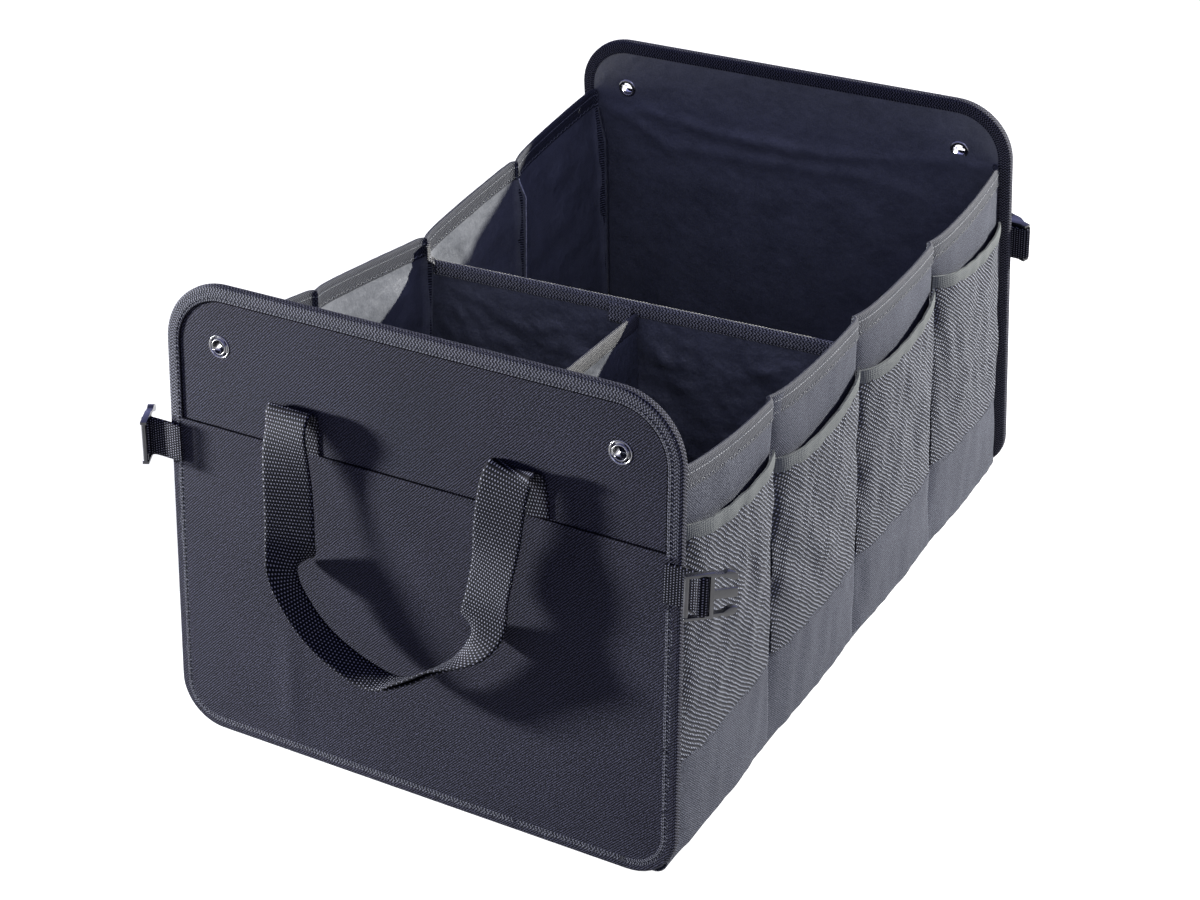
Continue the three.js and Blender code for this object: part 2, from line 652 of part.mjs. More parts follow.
// A loose board in its cloth sleeve, between a panel's foot and the main divider
function floorBoard(end, lean) {
  const halfWidth = panelHalfWidth(WALL_FOOT) - WALL_INSET - WALL_FOOT - BOARD_MARGIN;
  const far = panelFace(lean, CLOTH + GAP + FLOOR_BOARD) - BOARD_MARGIN;
  const near = DIVIDER / 2 + BOARD_MARGIN;
  const shape = new THREE.Shape();
  const r = BOARD_CORNER;
  shape.moveTo(-halfWidth, near);
  shape.lineTo(halfWidth, near);
  shape.lineTo(halfWidth, far - r);
  shape.quadraticCurveTo(halfWidth, far, halfWidth - r, far);
  shape.lineTo(-halfWidth + r, far);
  shape.quadraticCurveTo(-halfWidth, far, -halfWidth, far - r);
  const geometry = new THREE.ExtrudeGeometry(shape, { depth: FLOOR_BOARD, bevelEnabled: false, curveSegments: 4 });
  if (end < 0) geometry.rotateZ(Math.PI);
  return geometry.translate(0, 0, CLOTH + GAP);
}

// The main divider is sewn into the middle pleats of both walls and stands on the floor cloth
const dividerPlane = (height) => lengthwise(0.5, height);
const wallInside = (side, height) => wallReach(side, 0.5, height) + WALL_LINING.inner - GAP;
const LEG = DIVIDER / 2 + GAP + TAPE;

function mainDivider() {
  const [left, right] = SIDES;
  const foot = CLOTH + GAP;
  const footReach = panelHalfWidth(WALL_FOOT) - WALL_INSET - WALL_FOOT;
  const ring = (height, leftReach, rightReach) => {
    const y = dividerPlane(height);
    const half = DIVIDER / 2;
    return [
      new THREE.Vector3(-leftReach, y - half, height),
      new THREE.Vector3(-leftReach, y + half, height),
      new THREE.Vector3(rightReach, y + half, height),
      new THREE.Vector3(rightReach, y - half, height),
    ];
  };
  const heights = [WALL_FOOT, SKIRT_TOP, MESH_MIDDLE, POCKET_TOP - POCKET_HEM, DIVIDER_TOP];
  const rings = heights.map((height) => ring(height, wallInside(left, height), wallInside(right, height)));
  return loft([ring(foot, footReach, footReach), ...rings], ALONG_Z);
}

// A folded tape over a divider's top edge, as a section about the divider's plane
function tapeSection(top) {
  const [outer, inner, foot] = [LEG, LEG - TAPE, top - DIVIDER_TAPE_DEPTH];
  return [
    [-outer, foot],
    [-inner, foot],
    [-inner, top + GAP],
    [inner, top + GAP],
    [inner, foot],
    [outer, foot],
    [outer, top + GAP + TAPE],
    [-outer, top + GAP + TAPE],
  ];
}

function mainDividerTape() {
  const reach = (side) => Math.min(...[0, DIVIDER_TAPE_DEPTH].map((drop) => wallInside(side, DIVIDER_TOP - drop)));
  const [left, right] = SIDES;
  const section = tapeSection(DIVIDER_TOP);
  const rings = [reach(right), -reach(left)].map((x) =>
    section.map(([across, height]) => new THREE.Vector3(x, dividerPlane(height) + across, height)),
  );
  return loft(rings, ALONG_X);
}

const CROSS_TOP = DIVIDER_TOP - CROSS_DIVIDER_DROP;
const crossFront = (height) => GAP - panelFace(FRONT_LEAN, height);
const crossRear = (height) => dividerPlane(height) - LEG - GAP;

function crossDivider() {
  const half = DIVIDER / 2;
  const ring = (height) => [
    new THREE.Vector3(CROSS_DIVIDER_X - half, crossFront(height), height),
    new THREE.Vector3(CROSS_DIVIDER_X - half, crossRear(height), height),
    new THREE.Vector3(CROSS_DIVIDER_X + half, crossRear(height), height),
    new THREE.Vector3(CROSS_DIVIDER_X + half, crossFront(height), height),
  ];
  return loft([CLOTH + FLOOR_BOARD + 2 * GAP, CROSS_TOP].map(ring), ALONG_Z);
}

function crossDividerTape() {
  const rings = [crossFront, crossRear].map((end) =>
    tapeSection(CROSS_TOP).map(([across, height]) => new THREE.Vector3(CROSS_DIVIDER_X + across, end(height), height)),
  );
  return loft(rings, ALONG_Y);
}

// A short tab that fastens the cross divider's end to the main divider's taped edge
function dividerTab() {
  const right = CROSS_DIVIDER_X - LEG - GAP;
  const ring = (height) => {
    const y = crossRear(height);
    return [
      new THREE.Vector3(right - DIVIDER_TAB_LENGTH, y - DIVIDER_TAB, height),
      new THREE.Vector3(right - DIVIDER_TAB_LENGTH, y, height),
      new THREE.Vector3(right, y, height),
      new THREE.Vector3(right, y - DIVIDER_TAB, height),
    ];
  };
  return loft([CROSS_TOP - DIVIDER_TAB_HEIGHT, CROSS_TOP].map(ring), ALONG_Z);
}

function stand(panel, lean) {
  const angle = rad(lean);
  panel.position.y = PANEL_THICKNESS * Math.cos(angle) - LENGTH / 2;
  panel.rotation.x = -angle;
  return panel;
}

const organizer = new THREE.Group();

const front = stand(endPanel('front'), FRONT_LEAN);
addFittings(front, 'front', 1, FRONT_STRAP_REACH, plug, 'buckle_plug', (side, local) =>
  local > 0 ? rad(side.plugSwing) : Math.PI - rad(side.plugSwing),
);

const rear = stand(endPanel('rear'), REAR_LEAN);
addFittings(rear, 'rear', -1, REAR_STRAP_REACH, socket, 'buckle_socket', (side, local) =>
  local > 0 ? Math.PI + rad(SOCKET_SWING) : -rad(SOCKET_SWING),
);
const rearTurn = new THREE.Group();
rearTurn.rotation.z = Math.PI;
rearTurn.add(rear);

organizer.add(
  front,
  rearTurn,
  ...SIDES.map(sideWall),
  node('floor_cloth', floorCloth(), FINISHES.twill),
  node('front_floor_board', floorBoard(-1, FRONT_LEAN), FINISHES.liningCloth),
  node('rear_floor_board', floorBoard(1, REAR_LEAN), FINISHES.liningCloth),
  node('main_divider', mainDivider(), FINISHES.liningCloth),
  node('main_divider_tape', mainDividerTape(), FINISHES.tape),
  node('cross_divider', crossDivider(), FINISHES.liningCloth),
  node('cross_divider_tape', crossDividerTape(), FINISHES.tape),
  node('cross_divider_tab', dividerTab(), FINISHES.webbing),
);

export default organizer;
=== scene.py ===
import math

import bmesh
import bpy
import numpy as np
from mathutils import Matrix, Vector


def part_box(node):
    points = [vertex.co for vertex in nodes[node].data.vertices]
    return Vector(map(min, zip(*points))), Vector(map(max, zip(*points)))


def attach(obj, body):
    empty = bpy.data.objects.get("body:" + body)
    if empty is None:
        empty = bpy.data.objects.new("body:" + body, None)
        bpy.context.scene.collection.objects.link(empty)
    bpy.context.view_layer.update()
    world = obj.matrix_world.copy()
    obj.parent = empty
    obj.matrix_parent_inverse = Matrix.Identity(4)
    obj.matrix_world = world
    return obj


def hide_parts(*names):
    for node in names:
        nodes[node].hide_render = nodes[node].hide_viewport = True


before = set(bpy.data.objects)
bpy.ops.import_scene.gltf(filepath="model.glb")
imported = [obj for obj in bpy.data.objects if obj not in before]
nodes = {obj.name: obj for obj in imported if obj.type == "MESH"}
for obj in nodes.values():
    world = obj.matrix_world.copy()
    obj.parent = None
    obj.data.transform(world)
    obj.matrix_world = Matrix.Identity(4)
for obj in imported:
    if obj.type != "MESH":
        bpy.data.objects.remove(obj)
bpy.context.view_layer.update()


# The organizer hangs together on two stiff end panels that stand on the ground and lean in a little.
# Sizes are in millimetres: x across, y along the bag from the front panel, z up.

LENGTH, FOOT_WIDTH, HEAD_WIDTH, PANEL_HEIGHT = 588, 370, 356, 321
PANEL_DEPTH = 7.2
LEAN = {"front": math.radians(2.9), "rear": math.radians(7.4)}
ENDS = ("front", "rear")
SIDES = (("left", -1), ("right", 1))
SEAM = 225


def half_width(z):
    return (FOOT_WIDTH + (HEAD_WIDTH - FOOT_WIDTH) * z / PANEL_HEIGHT) / 2


def on_panel(end, x, depth, height):
    """Points on an end panel: depth is measured outwards from its innermost face, height up its slope."""
    x, depth, height = np.broadcast_arrays(np.asarray(x, float), depth, height)
    lean = LEAN[end]
    y = PANEL_DEPTH * math.cos(lean) - LENGTH / 2 + height * math.sin(lean) - depth * math.cos(lean)
    z = height * math.cos(lean) + depth * math.sin(lean)
    return np.stack([x, y if end == "front" else -y, z], -1)


def crumple(u, v, length, seed, along=0.0, spread=math.pi):
    """A smooth, uneven rise and fall of about +-1: waves of one rough length, running near one direction."""
    rng = np.random.default_rng(seed)
    total = 0
    for _ in range(9):
        angle = along + rng.uniform(-spread, spread)
        k = 2 * math.pi / (length * rng.uniform(0.65, 1.6))
        total = total + np.sin(k * (u * math.cos(angle) + v * math.sin(angle)) + rng.uniform(0, 6.283))
    return total / 3


def build(name, points, faces, weave, finish, replaces=(), creases=35):
    """A piece from points in millimetres, with its cloth coordinates kept on the points."""
    mesh = bpy.data.meshes.new(name)
    mesh.from_pydata((np.asarray(points) / 1000).tolist(), [], [list(map(int, f)) for f in faces])
    if weave is not None:
        flat = np.zeros((len(points), 3))
        flat[:, :2] = weave
        mesh.attributes.new("weave", "FLOAT_VECTOR", "POINT").data.foreach_set("vector", flat.ravel())
    mesh.materials.append(finish)
    piece = bpy.data.objects.new(name, mesh)
    bpy.context.scene.collection.objects.link(piece)
    mesh.shade_smooth()
    mesh.set_sharp_from_angle(angle=math.radians(creases))
    if replaces:
        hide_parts(*replaces)
    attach(piece, "bag")
    return piece


def layer(
        name, grid, thick, slot, finish, replaces=(), weave=None, flip=False, holes=(), held="", rests_on=()):
    """A closed thin layer of cloth. grid holds its outer face, and it is thick away from that face.
    """
    grid = np.asarray(grid, float)
    n, m = grid.shape[:2]
    normal = np.cross(np.gradient(grid, axis=0), np.gradient(grid, axis=1))
    normal /= np.linalg.norm(normal, axis=2, keepdims=True) + 1e-9
    if flip:
        normal = -normal
    du, dv = (np.linalg.norm(np.diff(grid, axis=i), axis=2) for i in (0, 1))
    if weave is None:
        weave = np.meshgrid(np.r_[0, np.cumsum(du.mean(1))], np.r_[0, np.cumsum(dv.mean(0))], indexing="ij")
    weave = np.stack(np.broadcast_arrays(*weave), -1).reshape(-1, 2)
    at = np.arange(n * m).reshape(n, m)
    front = np.stack([at[:-1, :-1], at[1:, :-1], at[1:, 1:], at[:-1, 1:]], -1).reshape(-1, 4)
    for x, y, radius in holes:
        away = np.linalg.norm(weave[front].mean(1) - (x, y), axis=1)
        front = front[away > radius]
    ahead = np.stack([front, np.roll(front, -1, 1)], -1).reshape(-1, 2)
    met = set(map(tuple, ahead[:, ::-1].tolist()))
    edge = np.array([pair for pair in ahead.tolist() if tuple(pair) not in met])
    size = n * m
    wall = np.stack([edge[:, 1], edge[:, 0], edge[:, 0] + size, edge[:, 1] + size], -1)
    faces = np.r_[front, front[:, ::-1] + size, wall]
    if flip:
        faces = faces[:, ::-1]
    points = np.r_[grid.reshape(-1, 3), (grid - normal * thick).reshape(-1, 3)]
    used, faces = np.unique(faces, return_inverse=True)
    piece = build(name, points[used], faces.reshape(-1, 4), np.r_[weave, weave][used], finish, replaces)
    if held:
        wide, long = du.sum(0).max() / 1000, dv.sum(1).max() / 1000
        spanned = np.cross(grid[1:, 1:] - grid[:-1, :-1], grid[:-1, 1:] - grid[1:, :-1])
        area = min(np.linalg.norm(spanned, axis=2).sum() / 2e6, wide * long)
    return piece


class Wire:
    """A number inside a material. Sums and products of wires add the Math nodes that work them out."""

    def __init__(self, finish, socket):
        self.finish, self.socket = finish, socket

    def sum(self, operation, *others):
        return self.finish.add("ShaderNodeMath", {"operation": operation}, dict(enumerate(others)))

    def __add__(self, other):
        return self.sum("ADD", self, other)

    def __radd__(self, other):
        return self.sum("ADD", other, self)

    def __sub__(self, other):
        return self.sum("SUBTRACT", self, other)

    def __rsub__(self, other):
        return self.sum("SUBTRACT", other, self)

    def __mul__(self, other):
        return self.sum("MULTIPLY", self, other)

    def __rmul__(self, other):
        return self.sum("MULTIPLY", other, self)

    def __truediv__(self, other):
        return self.sum("DIVIDE", self, other)

    def __rtruediv__(self, other):
        return self.sum("DIVIDE", other, self)

    def __pow__(self, other):
        return self.sum("POWER", self, other)

    def wave(self):
        """From 0 to 1 and back once in each whole number."""
        return self.sum("SINE", self * 6.28319) * 0.5 + 0.5

    def floor(self):
        return self.sum("FLOOR", self)


class Finish:
    """A material under construction."""

    def __init__(self, name, **surface):
        self.material = bpy.data.materials.new(name)
        self.material.use_nodes = True
        self.tree = self.material.node_tree
        self.surface = self.tree.nodes["Principled BSDF"]
        for socket, value in surface.items():
            self.surface.inputs[socket.replace("_", " ")].default_value = value

    def add(self, kind, settings, inputs, output=0):
        node = self.tree.nodes.new(kind)
        for key, value in settings.items():
            if key == "stops":
                while len(node.color_ramp.elements) < len(value):
                    node.color_ramp.elements.new(0.5)
                for stop, (place, colour) in zip(node.color_ramp.elements, value):
                    stop.position, stop.color = place, (*colour, 1)
            else:
                setattr(node, key, value)
        for key, value in inputs.items():
            self.plug(node.inputs[key], value)
        return Wire(self, node.outputs[output])

    def plug(self, socket, value):
        if isinstance(value, Wire):
            self.tree.links.new(value.socket, socket)
        else:
            socket.default_value = value

    def weave(self):
        """Cloth coordinates in millimetres: along the piece and across it."""
        cloth = self.add("ShaderNodeAttribute", {"attribute_name": "weave"}, {}, "Vector")
        return cloth, *(self.add("ShaderNodeSeparateXYZ", {}, {0: cloth}, axis) for axis in "XY")

    def speckle(self, place, scale, detail=2.0):
        return self.add("ShaderNodeTexNoise", {}, {"Vector": place, "Scale": scale, "Detail": detail})

    def shade(self, colours, mask, height=None, relief=0.1, **changing):
        """Colours along a mask, and a relief in millimetres from a height."""
        ramp = {"stops": colours}
        self.plug(self.surface.inputs["Base Color"], self.add("ShaderNodeValToRGB", ramp, {0: mask}))
        for socket, value in changing.items():
            self.plug(self.surface.inputs[socket.replace("_", " ")], value)
        if height is not None:
            bump = self.add("ShaderNodeBump", {}, {"Height": height, "Distance": relief / 1000, "Strength": 1.0})
            self.plug(self.surface.inputs["Normal"], bump)
        return self.material


def twill(name, pitch, dark, light, specks=2.2):
    """Polyester twill: fine slanted ribs, broken up where the yarns cross, with a mottled dye."""
    finish = Finish(name, Specular_IOR_Level=0.06)
    place, u, v = finish.weave()
    wander = finish.speckle(place, 0.35)
    rib = ((u - v) / (pitch * 1.414) + wander * 0.5).wave()
    cross = ((u + v) / (pitch * 1.1)).wave()
    fleck = finish.speckle(place, 0.9, 3.0)
    cloud = finish.speckle(place, 0.012, 3.0)
    yarn = rib * (cross * 0.5 + 0.5)
    mask = yarn + (fleck - 0.5) * specks + (cloud - 0.5) * 0.2 - 0.1
    return finish.shade(((0.05, dark), (0.95, light)), mask, yarn, 0.2, Roughness=0.75 + fleck * 0.2)


# The floor is one cloth that turns up at both sides to meet the walls. Two boards in cloth sleeves lie
# loose on it and keep it flat.

canvas = twill("canvas", 1.5, (0.005, 0.0055, 0.0075), (0.125, 0.132, 0.155), 1.2)


def lining_cloth(name, wrinkle, tone=1.0, rough=0.36):
    """Thin coated lining: almost black, smooth and a little shiny, with small soft creases."""
    finish = Finish(name, Specular_IOR_Level=0.5)
    place, u, v = finish.weave()
    soft = finish.speckle(place, 0.035, 3.0)
    fine = finish.speckle(place, 0.16, 4.0)
    thread = (u / 0.9).wave() * (v / 0.9).wave()
    grain = finish.speckle(place, 0.8)
    mask = soft * 0.6 + fine * 0.3 + thread * 0.15 + (grain - 0.5) * 0.7
    colours = ((0.25, (0.042 * tone, 0.045 * tone, 0.05 * tone)), (0.8, (0.085 * tone, 0.09 * tone, 0.098 * tone)))
    height = soft * wrinkle + fine * 0.35 * wrinkle + thread * 0.05
    return finish.shade(colours, mask, height, 1.6, Roughness=rough + fine * 0.22)


lining = lining_cloth("lining", 1.0)

SLEEVE_TOP, SLEEVE_THICK, SLEEVE_CORNER = 4.1, 2.9, 8.0
across = np.linspace(-1, 1, 61)
for end, seed in (("front", 11), ("rear", 12)):
    low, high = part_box(f"{end}_floor_board")
    x0, x1, y0, y1 = low.x * 1000, high.x * 1000, low.y * 1000, high.y * 1000
    ys = np.linspace(y0, y1, 61)
    inward = np.maximum(0, SLEEVE_CORNER - np.minimum(ys - y0, y1 - ys))
    narrow = SLEEVE_CORNER - np.sqrt(np.maximum(0, SLEEVE_CORNER**2 - inward**2))
    grid = np.zeros((61, 61, 3))
    grid[..., 0] = across[None, :] * ((x1 - x0) / 2 - narrow[:, None]) + (x0 + x1) / 2
    grid[..., 1] = ys[:, None]
    edge = np.minimum(1, 4 * (1 - np.abs(across)))
    grid[..., 2] = SLEEVE_TOP + crumple(grid[..., 0], grid[..., 1], 70, seed) * 0.25 * edge
    layer(f"{end}_floor_board_sleeve", grid, SLEEVE_THICK, "lining", lining, [f"{end}_floor_board"], flip=True)

WALL_FOOT, WALL_INSET, CLOTH_OUT = 10, 9, 0.95
turn_radius = WALL_FOOT - 0.3
reach_at_foot = half_width(WALL_FOOT) - WALL_INSET + CLOTH_OUT
angles = np.radians(np.linspace(0, 90, 9))
turned = [(reach_at_foot - turn_radius + turn_radius * math.sin(a), turn_radius * (1 - math.cos(a))) for a in angles]
profile = [(-x, z) for x, z in turned[::-1]] + [(x, 0) for x in np.linspace(-160, 160, 33)] + turned
profile = np.array(profile)
floor_y = np.linspace(-286.55, 286.6, 58)
grid = np.zeros((len(floor_y), len(profile), 3))
grid[..., 0], grid[..., 2] = profile[:, 0], profile[:, 1]
leaning_in = np.where(floor_y > 0, 0.13, -0.05)
grid[..., 1] = floor_y[:, None] - profile[:, 1] * leaning_in[:, None]
layer(
    "floor_cloth_sewn", grid, 0.8, "twill", canvas, ["floor_cloth"],
    held="stretched", rests_on=["front_board", "rear_board"])


# Each end panel is a board between two cloths. The outer cloth is in two pieces: the folded top edge of
# the lower one laps over the upper one and holds the handle's ends.

front_twill = twill("panel_twill", 1.4, (0.0, 0.0, 0.0004), (0.03, 0.0305, 0.047))
board_core = Finish("board_core", Roughness=0.8).shade(((0, (0.03, 0.027, 0.024)), (1, (0.05, 0.045, 0.04))), 0.5)

FOOT_CORNER, HEAD_CORNER = 32, 44


def outline(inset, steps=14):
    """The right half of a panel's outline from its foot to its head, as (x, height) points."""
    taper = math.atan2((FOOT_WIDTH - HEAD_WIDTH) / 2, PANEL_HEIGHT)
    found = []
    turns = (
        (FOOT_CORNER, FOOT_CORNER, -math.pi / 2, taper),
        (HEAD_CORNER, PANEL_HEIGHT - HEAD_CORNER, taper, math.pi / 2))
    for radius, height, start, stop in turns:
        x = FOOT_WIDTH / 2 - (radius + height * math.sin(taper)) / math.cos(taper)
        for angle in np.linspace(start, stop, steps):
            found.append((x + (radius - inset) * math.cos(angle), height + (radius - inset) * math.sin(angle)))
    return np.array(found)


def panel_grid(end, inset, depth, low=0, high=PANEL_HEIGHT, columns=121, pitch=4.0, shape=None, extra=()):
    """A panel's face as rows of points, each as wide as the outline is there."""
    edge = outline(inset)
    heights = np.r_[edge[:, 1], np.arange(36, PANEL_HEIGHT - 46, pitch), low, high, extra]
    heights = np.unique(np.round(heights[(heights >= low - 1e-6) & (heights <= high + 1e-6)], 2))
    heights = heights[(heights >= edge[0, 1]) & (heights <= edge[-1, 1])]
    reach = np.interp(heights, edge[:, 1], edge[:, 0])
    x = np.linspace(-1, 1, columns)[None, :] * reach[:, None]
    h = np.repeat(heights[:, None], columns, 1)
    margin = np.minimum(reach[:, None] - np.abs(x), np.minimum(h - edge[0, 1], edge[-1, 1] - h))
    calm = 1 - np.exp(-np.maximum(margin - 8, 0) / 18)
    rise = shape(x, h) * calm if shape else 0
    return on_panel(end, x, depth + rise, h), (x + 200, h)


EYELET_X, EYELET_HEIGHT = 139, PANEL_HEIGHT - 40
PUNCHED = [(200 + x, EYELET_HEIGHT, 5.6) for x in (-EYELET_X, EYELET_X)]


def unit(directions):
    return directions / np.linalg.norm(directions, axis=-1, keepdims=True)


def run_along(path):
    """How far along a path each of its points lies."""
    return np.r_[0, np.cumsum(np.linalg.norm(np.diff(path, axis=0), axis=1))]


def stitches(name, path, normal, colour, pitch=3.6, length=2.4, radius=0.24, zigzag=0.0):
    """A row of sewn stitches: short threads that dip into the cloth at both ends."""
    path, normal = np.asarray(path, float), np.asarray(normal, float)
    run = run_along(path)
    count = int(run[-1] / pitch)
    points, faces = [], []
    stations = np.array([0.0, 0.18, 0.5, 0.82, 1.0])
    lift = np.array([-0.25, 0.16, 0.26, 0.16, -0.25])
    swell = np.array([0.35, 0.95, 1.0, 0.95, 0.35])
    ring = np.radians(np.arange(0, 360, 72))
    for k in range(count):
        s = (k + 0.5) * run[-1] / count + (stations - 0.5) * length
        middle = np.stack([np.interp(s, run, path[:, i]) for i in range(3)], -1)
        out = unit(np.stack([np.interp(s, run, normal[:, i]) for i in range(3)], -1))
        side = unit(np.cross(unit(middle[-1] - middle[0]), out))
        middle = middle + out * lift[:, None] + side * (zigzag * (stations - 0.5) * (-1) ** k)[:, None]
        base = len(points) * 5
        for i in range(5):
            turn = np.cos(ring)[:, None] * side[i] + np.sin(ring)[:, None] * out[i]
            points.append(middle[i] + radius * swell[i] * turn)
        for i in range(4):
            for j in range(5):
                a, b = base + i * 5 + j, base + i * 5 + (j + 1) % 5
                faces.append((a, b, b + 5, a + 5))
        faces.append(tuple(base + j for j in range(4, -1, -1)))
        faces.append(tuple(base + 20 + j for j in range(5)))
    build(name, np.concatenate(points), faces, None, colour, creases=80)


def thread_finish(name, dark, light, shine=0.5):
    finish = Finish(name, Roughness=0.6, Specular_IOR_Level=shine)
    place = finish.add("ShaderNodeTexCoord", {}, {}, "Object")
    return finish.shade(((0.3, dark), (0.7, light)), finish.speckle(place, 900.0), finish.speckle(place, 2500.0), 0.05)


dark_thread = thread_finish("dark_thread", (0.012, 0.0125, 0.016), (0.04, 0.042, 0.05), 0.1)
pale_thread = thread_finish("pale_thread", (0.07, 0.075, 0.08), (0.19, 0.2, 0.2))
# A near-black cord finish, used only for painted shadow lines: along the panel seam's fold and at the edge tape's inner
# edge.
painted_shadow_line = thread_finish("painted_shadow_line", (0.001, 0.001, 0.0015), (0.003, 0.003, 0.004), 0.0)


def sweep(name, points, weave, finish, replaces=(), creases=60, closed=False, flip=False):
    """A piece from rings of points, one ring after another. It has flat ends unless it is closed.

    weave holds the distances along it and round its section.
    """
    n, m = points.shape[:2]
    if weave:
        weave = np.stack(np.broadcast_arrays(weave[0][:, None], weave[1][None, :]), -1).reshape(-1, 2)
    index = np.arange(n * m).reshape(n, m)
    a, b = (index, np.roll(index, -1, 0)) if closed else (index[:-1], index[1:])
    faces = np.stack([a, b, np.roll(b, -1, 1), np.roll(a, -1, 1)], -1).reshape(-1, 4).tolist()
    if not closed:
        faces += [index[0].tolist(), index[-1][::-1].tolist()]
    if flip:
        faces = [[face[0]] + face[:0:-1] for face in faces]
    build(name, points.reshape(-1, 3), faces, weave, finish, replaces, creases)


def cord_along(name, path, radius, finish):
    """A thin round trim along a path."""
    path = np.asarray(path, float)
    along = unit(np.gradient(path, axis=0))
    side = unit(np.cross(along, (1.0, 0.15, 0.05)))
    other = np.cross(along, side)
    ring = np.radians(np.arange(0, 360, 45))[None, :, None]
    points = path[:, None, :] + radius * (np.cos(ring) * side[:, None] + np.sin(ring) * other[:, None])
    sweep(name, points, None, finish, flip=True)


def front_swell(x, h):
    rolled = 0.25 * np.exp(-(((SEAM - 1.2 - h) / 0.9) ** 2))
    broad = 1.1 * crumple(x, h, 240, 5) + 0.35 * crumple(x, h, 70, 6)
    creases = np.exp(-(((x + 95) / 7) ** 2)) * np.clip((110 - h) / 60, 0, 1) * 0.9
    return 0.45 * np.maximum(broad, -0.4) + creases + rolled


def inner_folds(x, h):
    """Two long soft folds across the lining under the panel's head, and fainter ones under them."""
    upper_x = (-178, -165, -128, -84, -54, 10, 48, 93, 136, 178)
    upper = np.interp(x, upper_x, (240, 249, 265, 259, 256, 255, 258, 264, 272, 268))
    lower = np.interp(x, (-178, -138, -107, -54, 52, 120, 178), (268, 256, 237, 238, 243, 236, 226))
    ridges = 2.3 * np.exp(-(((h - upper) / 5.0) ** 2)) * (0.75 + 0.25 * np.cos((x + 20) / 40))
    ridges = ridges + 1.5 * np.exp(-(((h - lower) / 6.0) ** 2)) * np.clip((150 - x) / 120, 0, 1)
    ridges = ridges + 0.7 * np.exp(-(((h - lower + 32) / 9.0) ** 2)) * np.clip((60 - x) / 80, 0, 1)
    return -(ridges + 0.35 + 0.35 * crumple(x, h, 55, 21) + 0.15 * crumple(x, h, 17, 22))


FOLD_ROWS = SEAM - np.array([0.3, 0.7, 1.2, 1.7, 2.3, 3.0, 4.0])
UNDER_TAPE, LOWER_FACE, UPPER_FACE, LINING_FACE = 1.6, 6.0, 5.5, 1.15
for end in ENDS:
    turned_in = end == "front"
    on_board = dict(held="stretched", rests_on=[f"{end}_board"])
    grid, weave = panel_grid(end, UNDER_TAPE, LOWER_FACE, high=SEAM, shape=front_swell, extra=FOLD_ROWS)
    name = f"{end}_lower_cloth"
    layer(f"{name}_sewn", grid, 1.3, "twill", front_twill, [name], weave, not turned_in, **on_board)
    upper_swell = lambda x, h: 0.2 * crumple(x, h, 160, 8)
    grid, weave = panel_grid(end, UNDER_TAPE, UPPER_FACE, low=SEAM - 10, shape=upper_swell)
    name = f"{end}_upper_cloth"
    layer(f"{name}_sewn", grid, 0.75, "twill", front_twill, [name], weave, not turned_in, PUNCHED, **on_board)

    # The fold along the lower cloth's top edge, the seam that holds it, and a near-black cord along the fold's edge
    # that is a painted shadow line
    xs = np.linspace(-half_width(SEAM) + 4, half_width(SEAM) - 4, 150)
    row = on_panel(end, xs, 6.05, SEAM - 3.0)
    out = on_panel(end, xs, 7.05, SEAM - 3.0) - row
    stitches(f"{end}_seam_stitches", row, out, dark_thread, 3.4, 2.2, 0.16)
    cord_along(f"{end}_seam_painted_shadow", on_panel(end, xs, 6.7, SEAM + 0.5), 0.48, painted_shadow_line)

    grid, weave = panel_grid(end, UNDER_TAPE, LINING_FACE, pitch=3.0, shape=inner_folds)
    name = f"{end}_lining"
    layer(f"{name}_sewn", grid, 0.6, "lining", lining, [name], weave, turned_in, PUNCHED, **on_board)
    nodes[f"{end}_board"].data.materials.clear()
    nodes[f"{end}_board"].data.materials.append(board_core)


# A woven tape is folded round the whole edge of each panel and sewn through from face to face.
# Its ribs run across it, and its free edges puff up a little between the stitches.

def ribbed_tape(name, dark, light, pitch=1.7, shine=0.25):
    finish = Finish(name, Specular_IOR_Level=shine)
    place, u, v = finish.weave()
    zigzag = ((v / 3.2).wave() * 0.55 + finish.speckle(place, 0.4) * 0.5)
    rib = (u / pitch + zigzag).wave()
    yarn = rib ** 1.5 * ((v / 1.3).wave() * 0.6 + 0.4)
    fleck = finish.speckle(place, 1.1, 3.0)
    mask = yarn * 0.9 + fleck * 0.8 - 0.34
    return finish.shade(((0.1, dark), (0.9, light)), mask, yarn, 0.28, Roughness=0.7 + fleck * 0.2)


edge_tape = ribbed_tape("edge_tape", (0.0004, 0.0005, 0.0012), (0.072, 0.074, 0.092), 2.2, 0.08)


def dense_outline(inset, count=300):
    """The whole outline as evenly spaced points, together with the directions that point into the panel."""
    right = outline(0, 40)
    loop = np.r_[right, right[::-1] * (-1, 1), right[:1]]
    run = run_along(loop)
    s = np.linspace(0, run[-1], count, endpoint=False)
    at = np.stack([np.interp(s, run, loop[:, i]) for i in range(2)], -1)
    ahead = unit(np.roll(at, -1, 0) - np.roll(at, 1, 0))
    inwards = np.stack([-ahead[:, 1], ahead[:, 0]], -1)
    return at + inwards * inset, inwards, s


def ring_strip(name, end, section, finish, replaces):
    """Sweeps a closed section of (inset, depth) points round a panel's outline. It puffs up between the stitches."""
    section = np.asarray(section, float)
    at, inwards, s = dense_outline(0)
    puff = 0.14 * crumple(s, 0 * s, 11, 31) + 0.1 * crumple(s, 0 * s, 40, 32)
    depth = PANEL_DEPTH / 2 + (section[:, 1] - PANEL_DEPTH / 2) * (1 + puff[:, None] * 0.06)
    plane = at[:, None, :] + inwards[:, None, :] * section[None, :, :1]
    points = on_panel(end, plane[..., 0], depth, plane[..., 1])
    sweep(name, points, (s, run_along(section)), finish, replaces, 50, closed=True, flip=end == "rear")


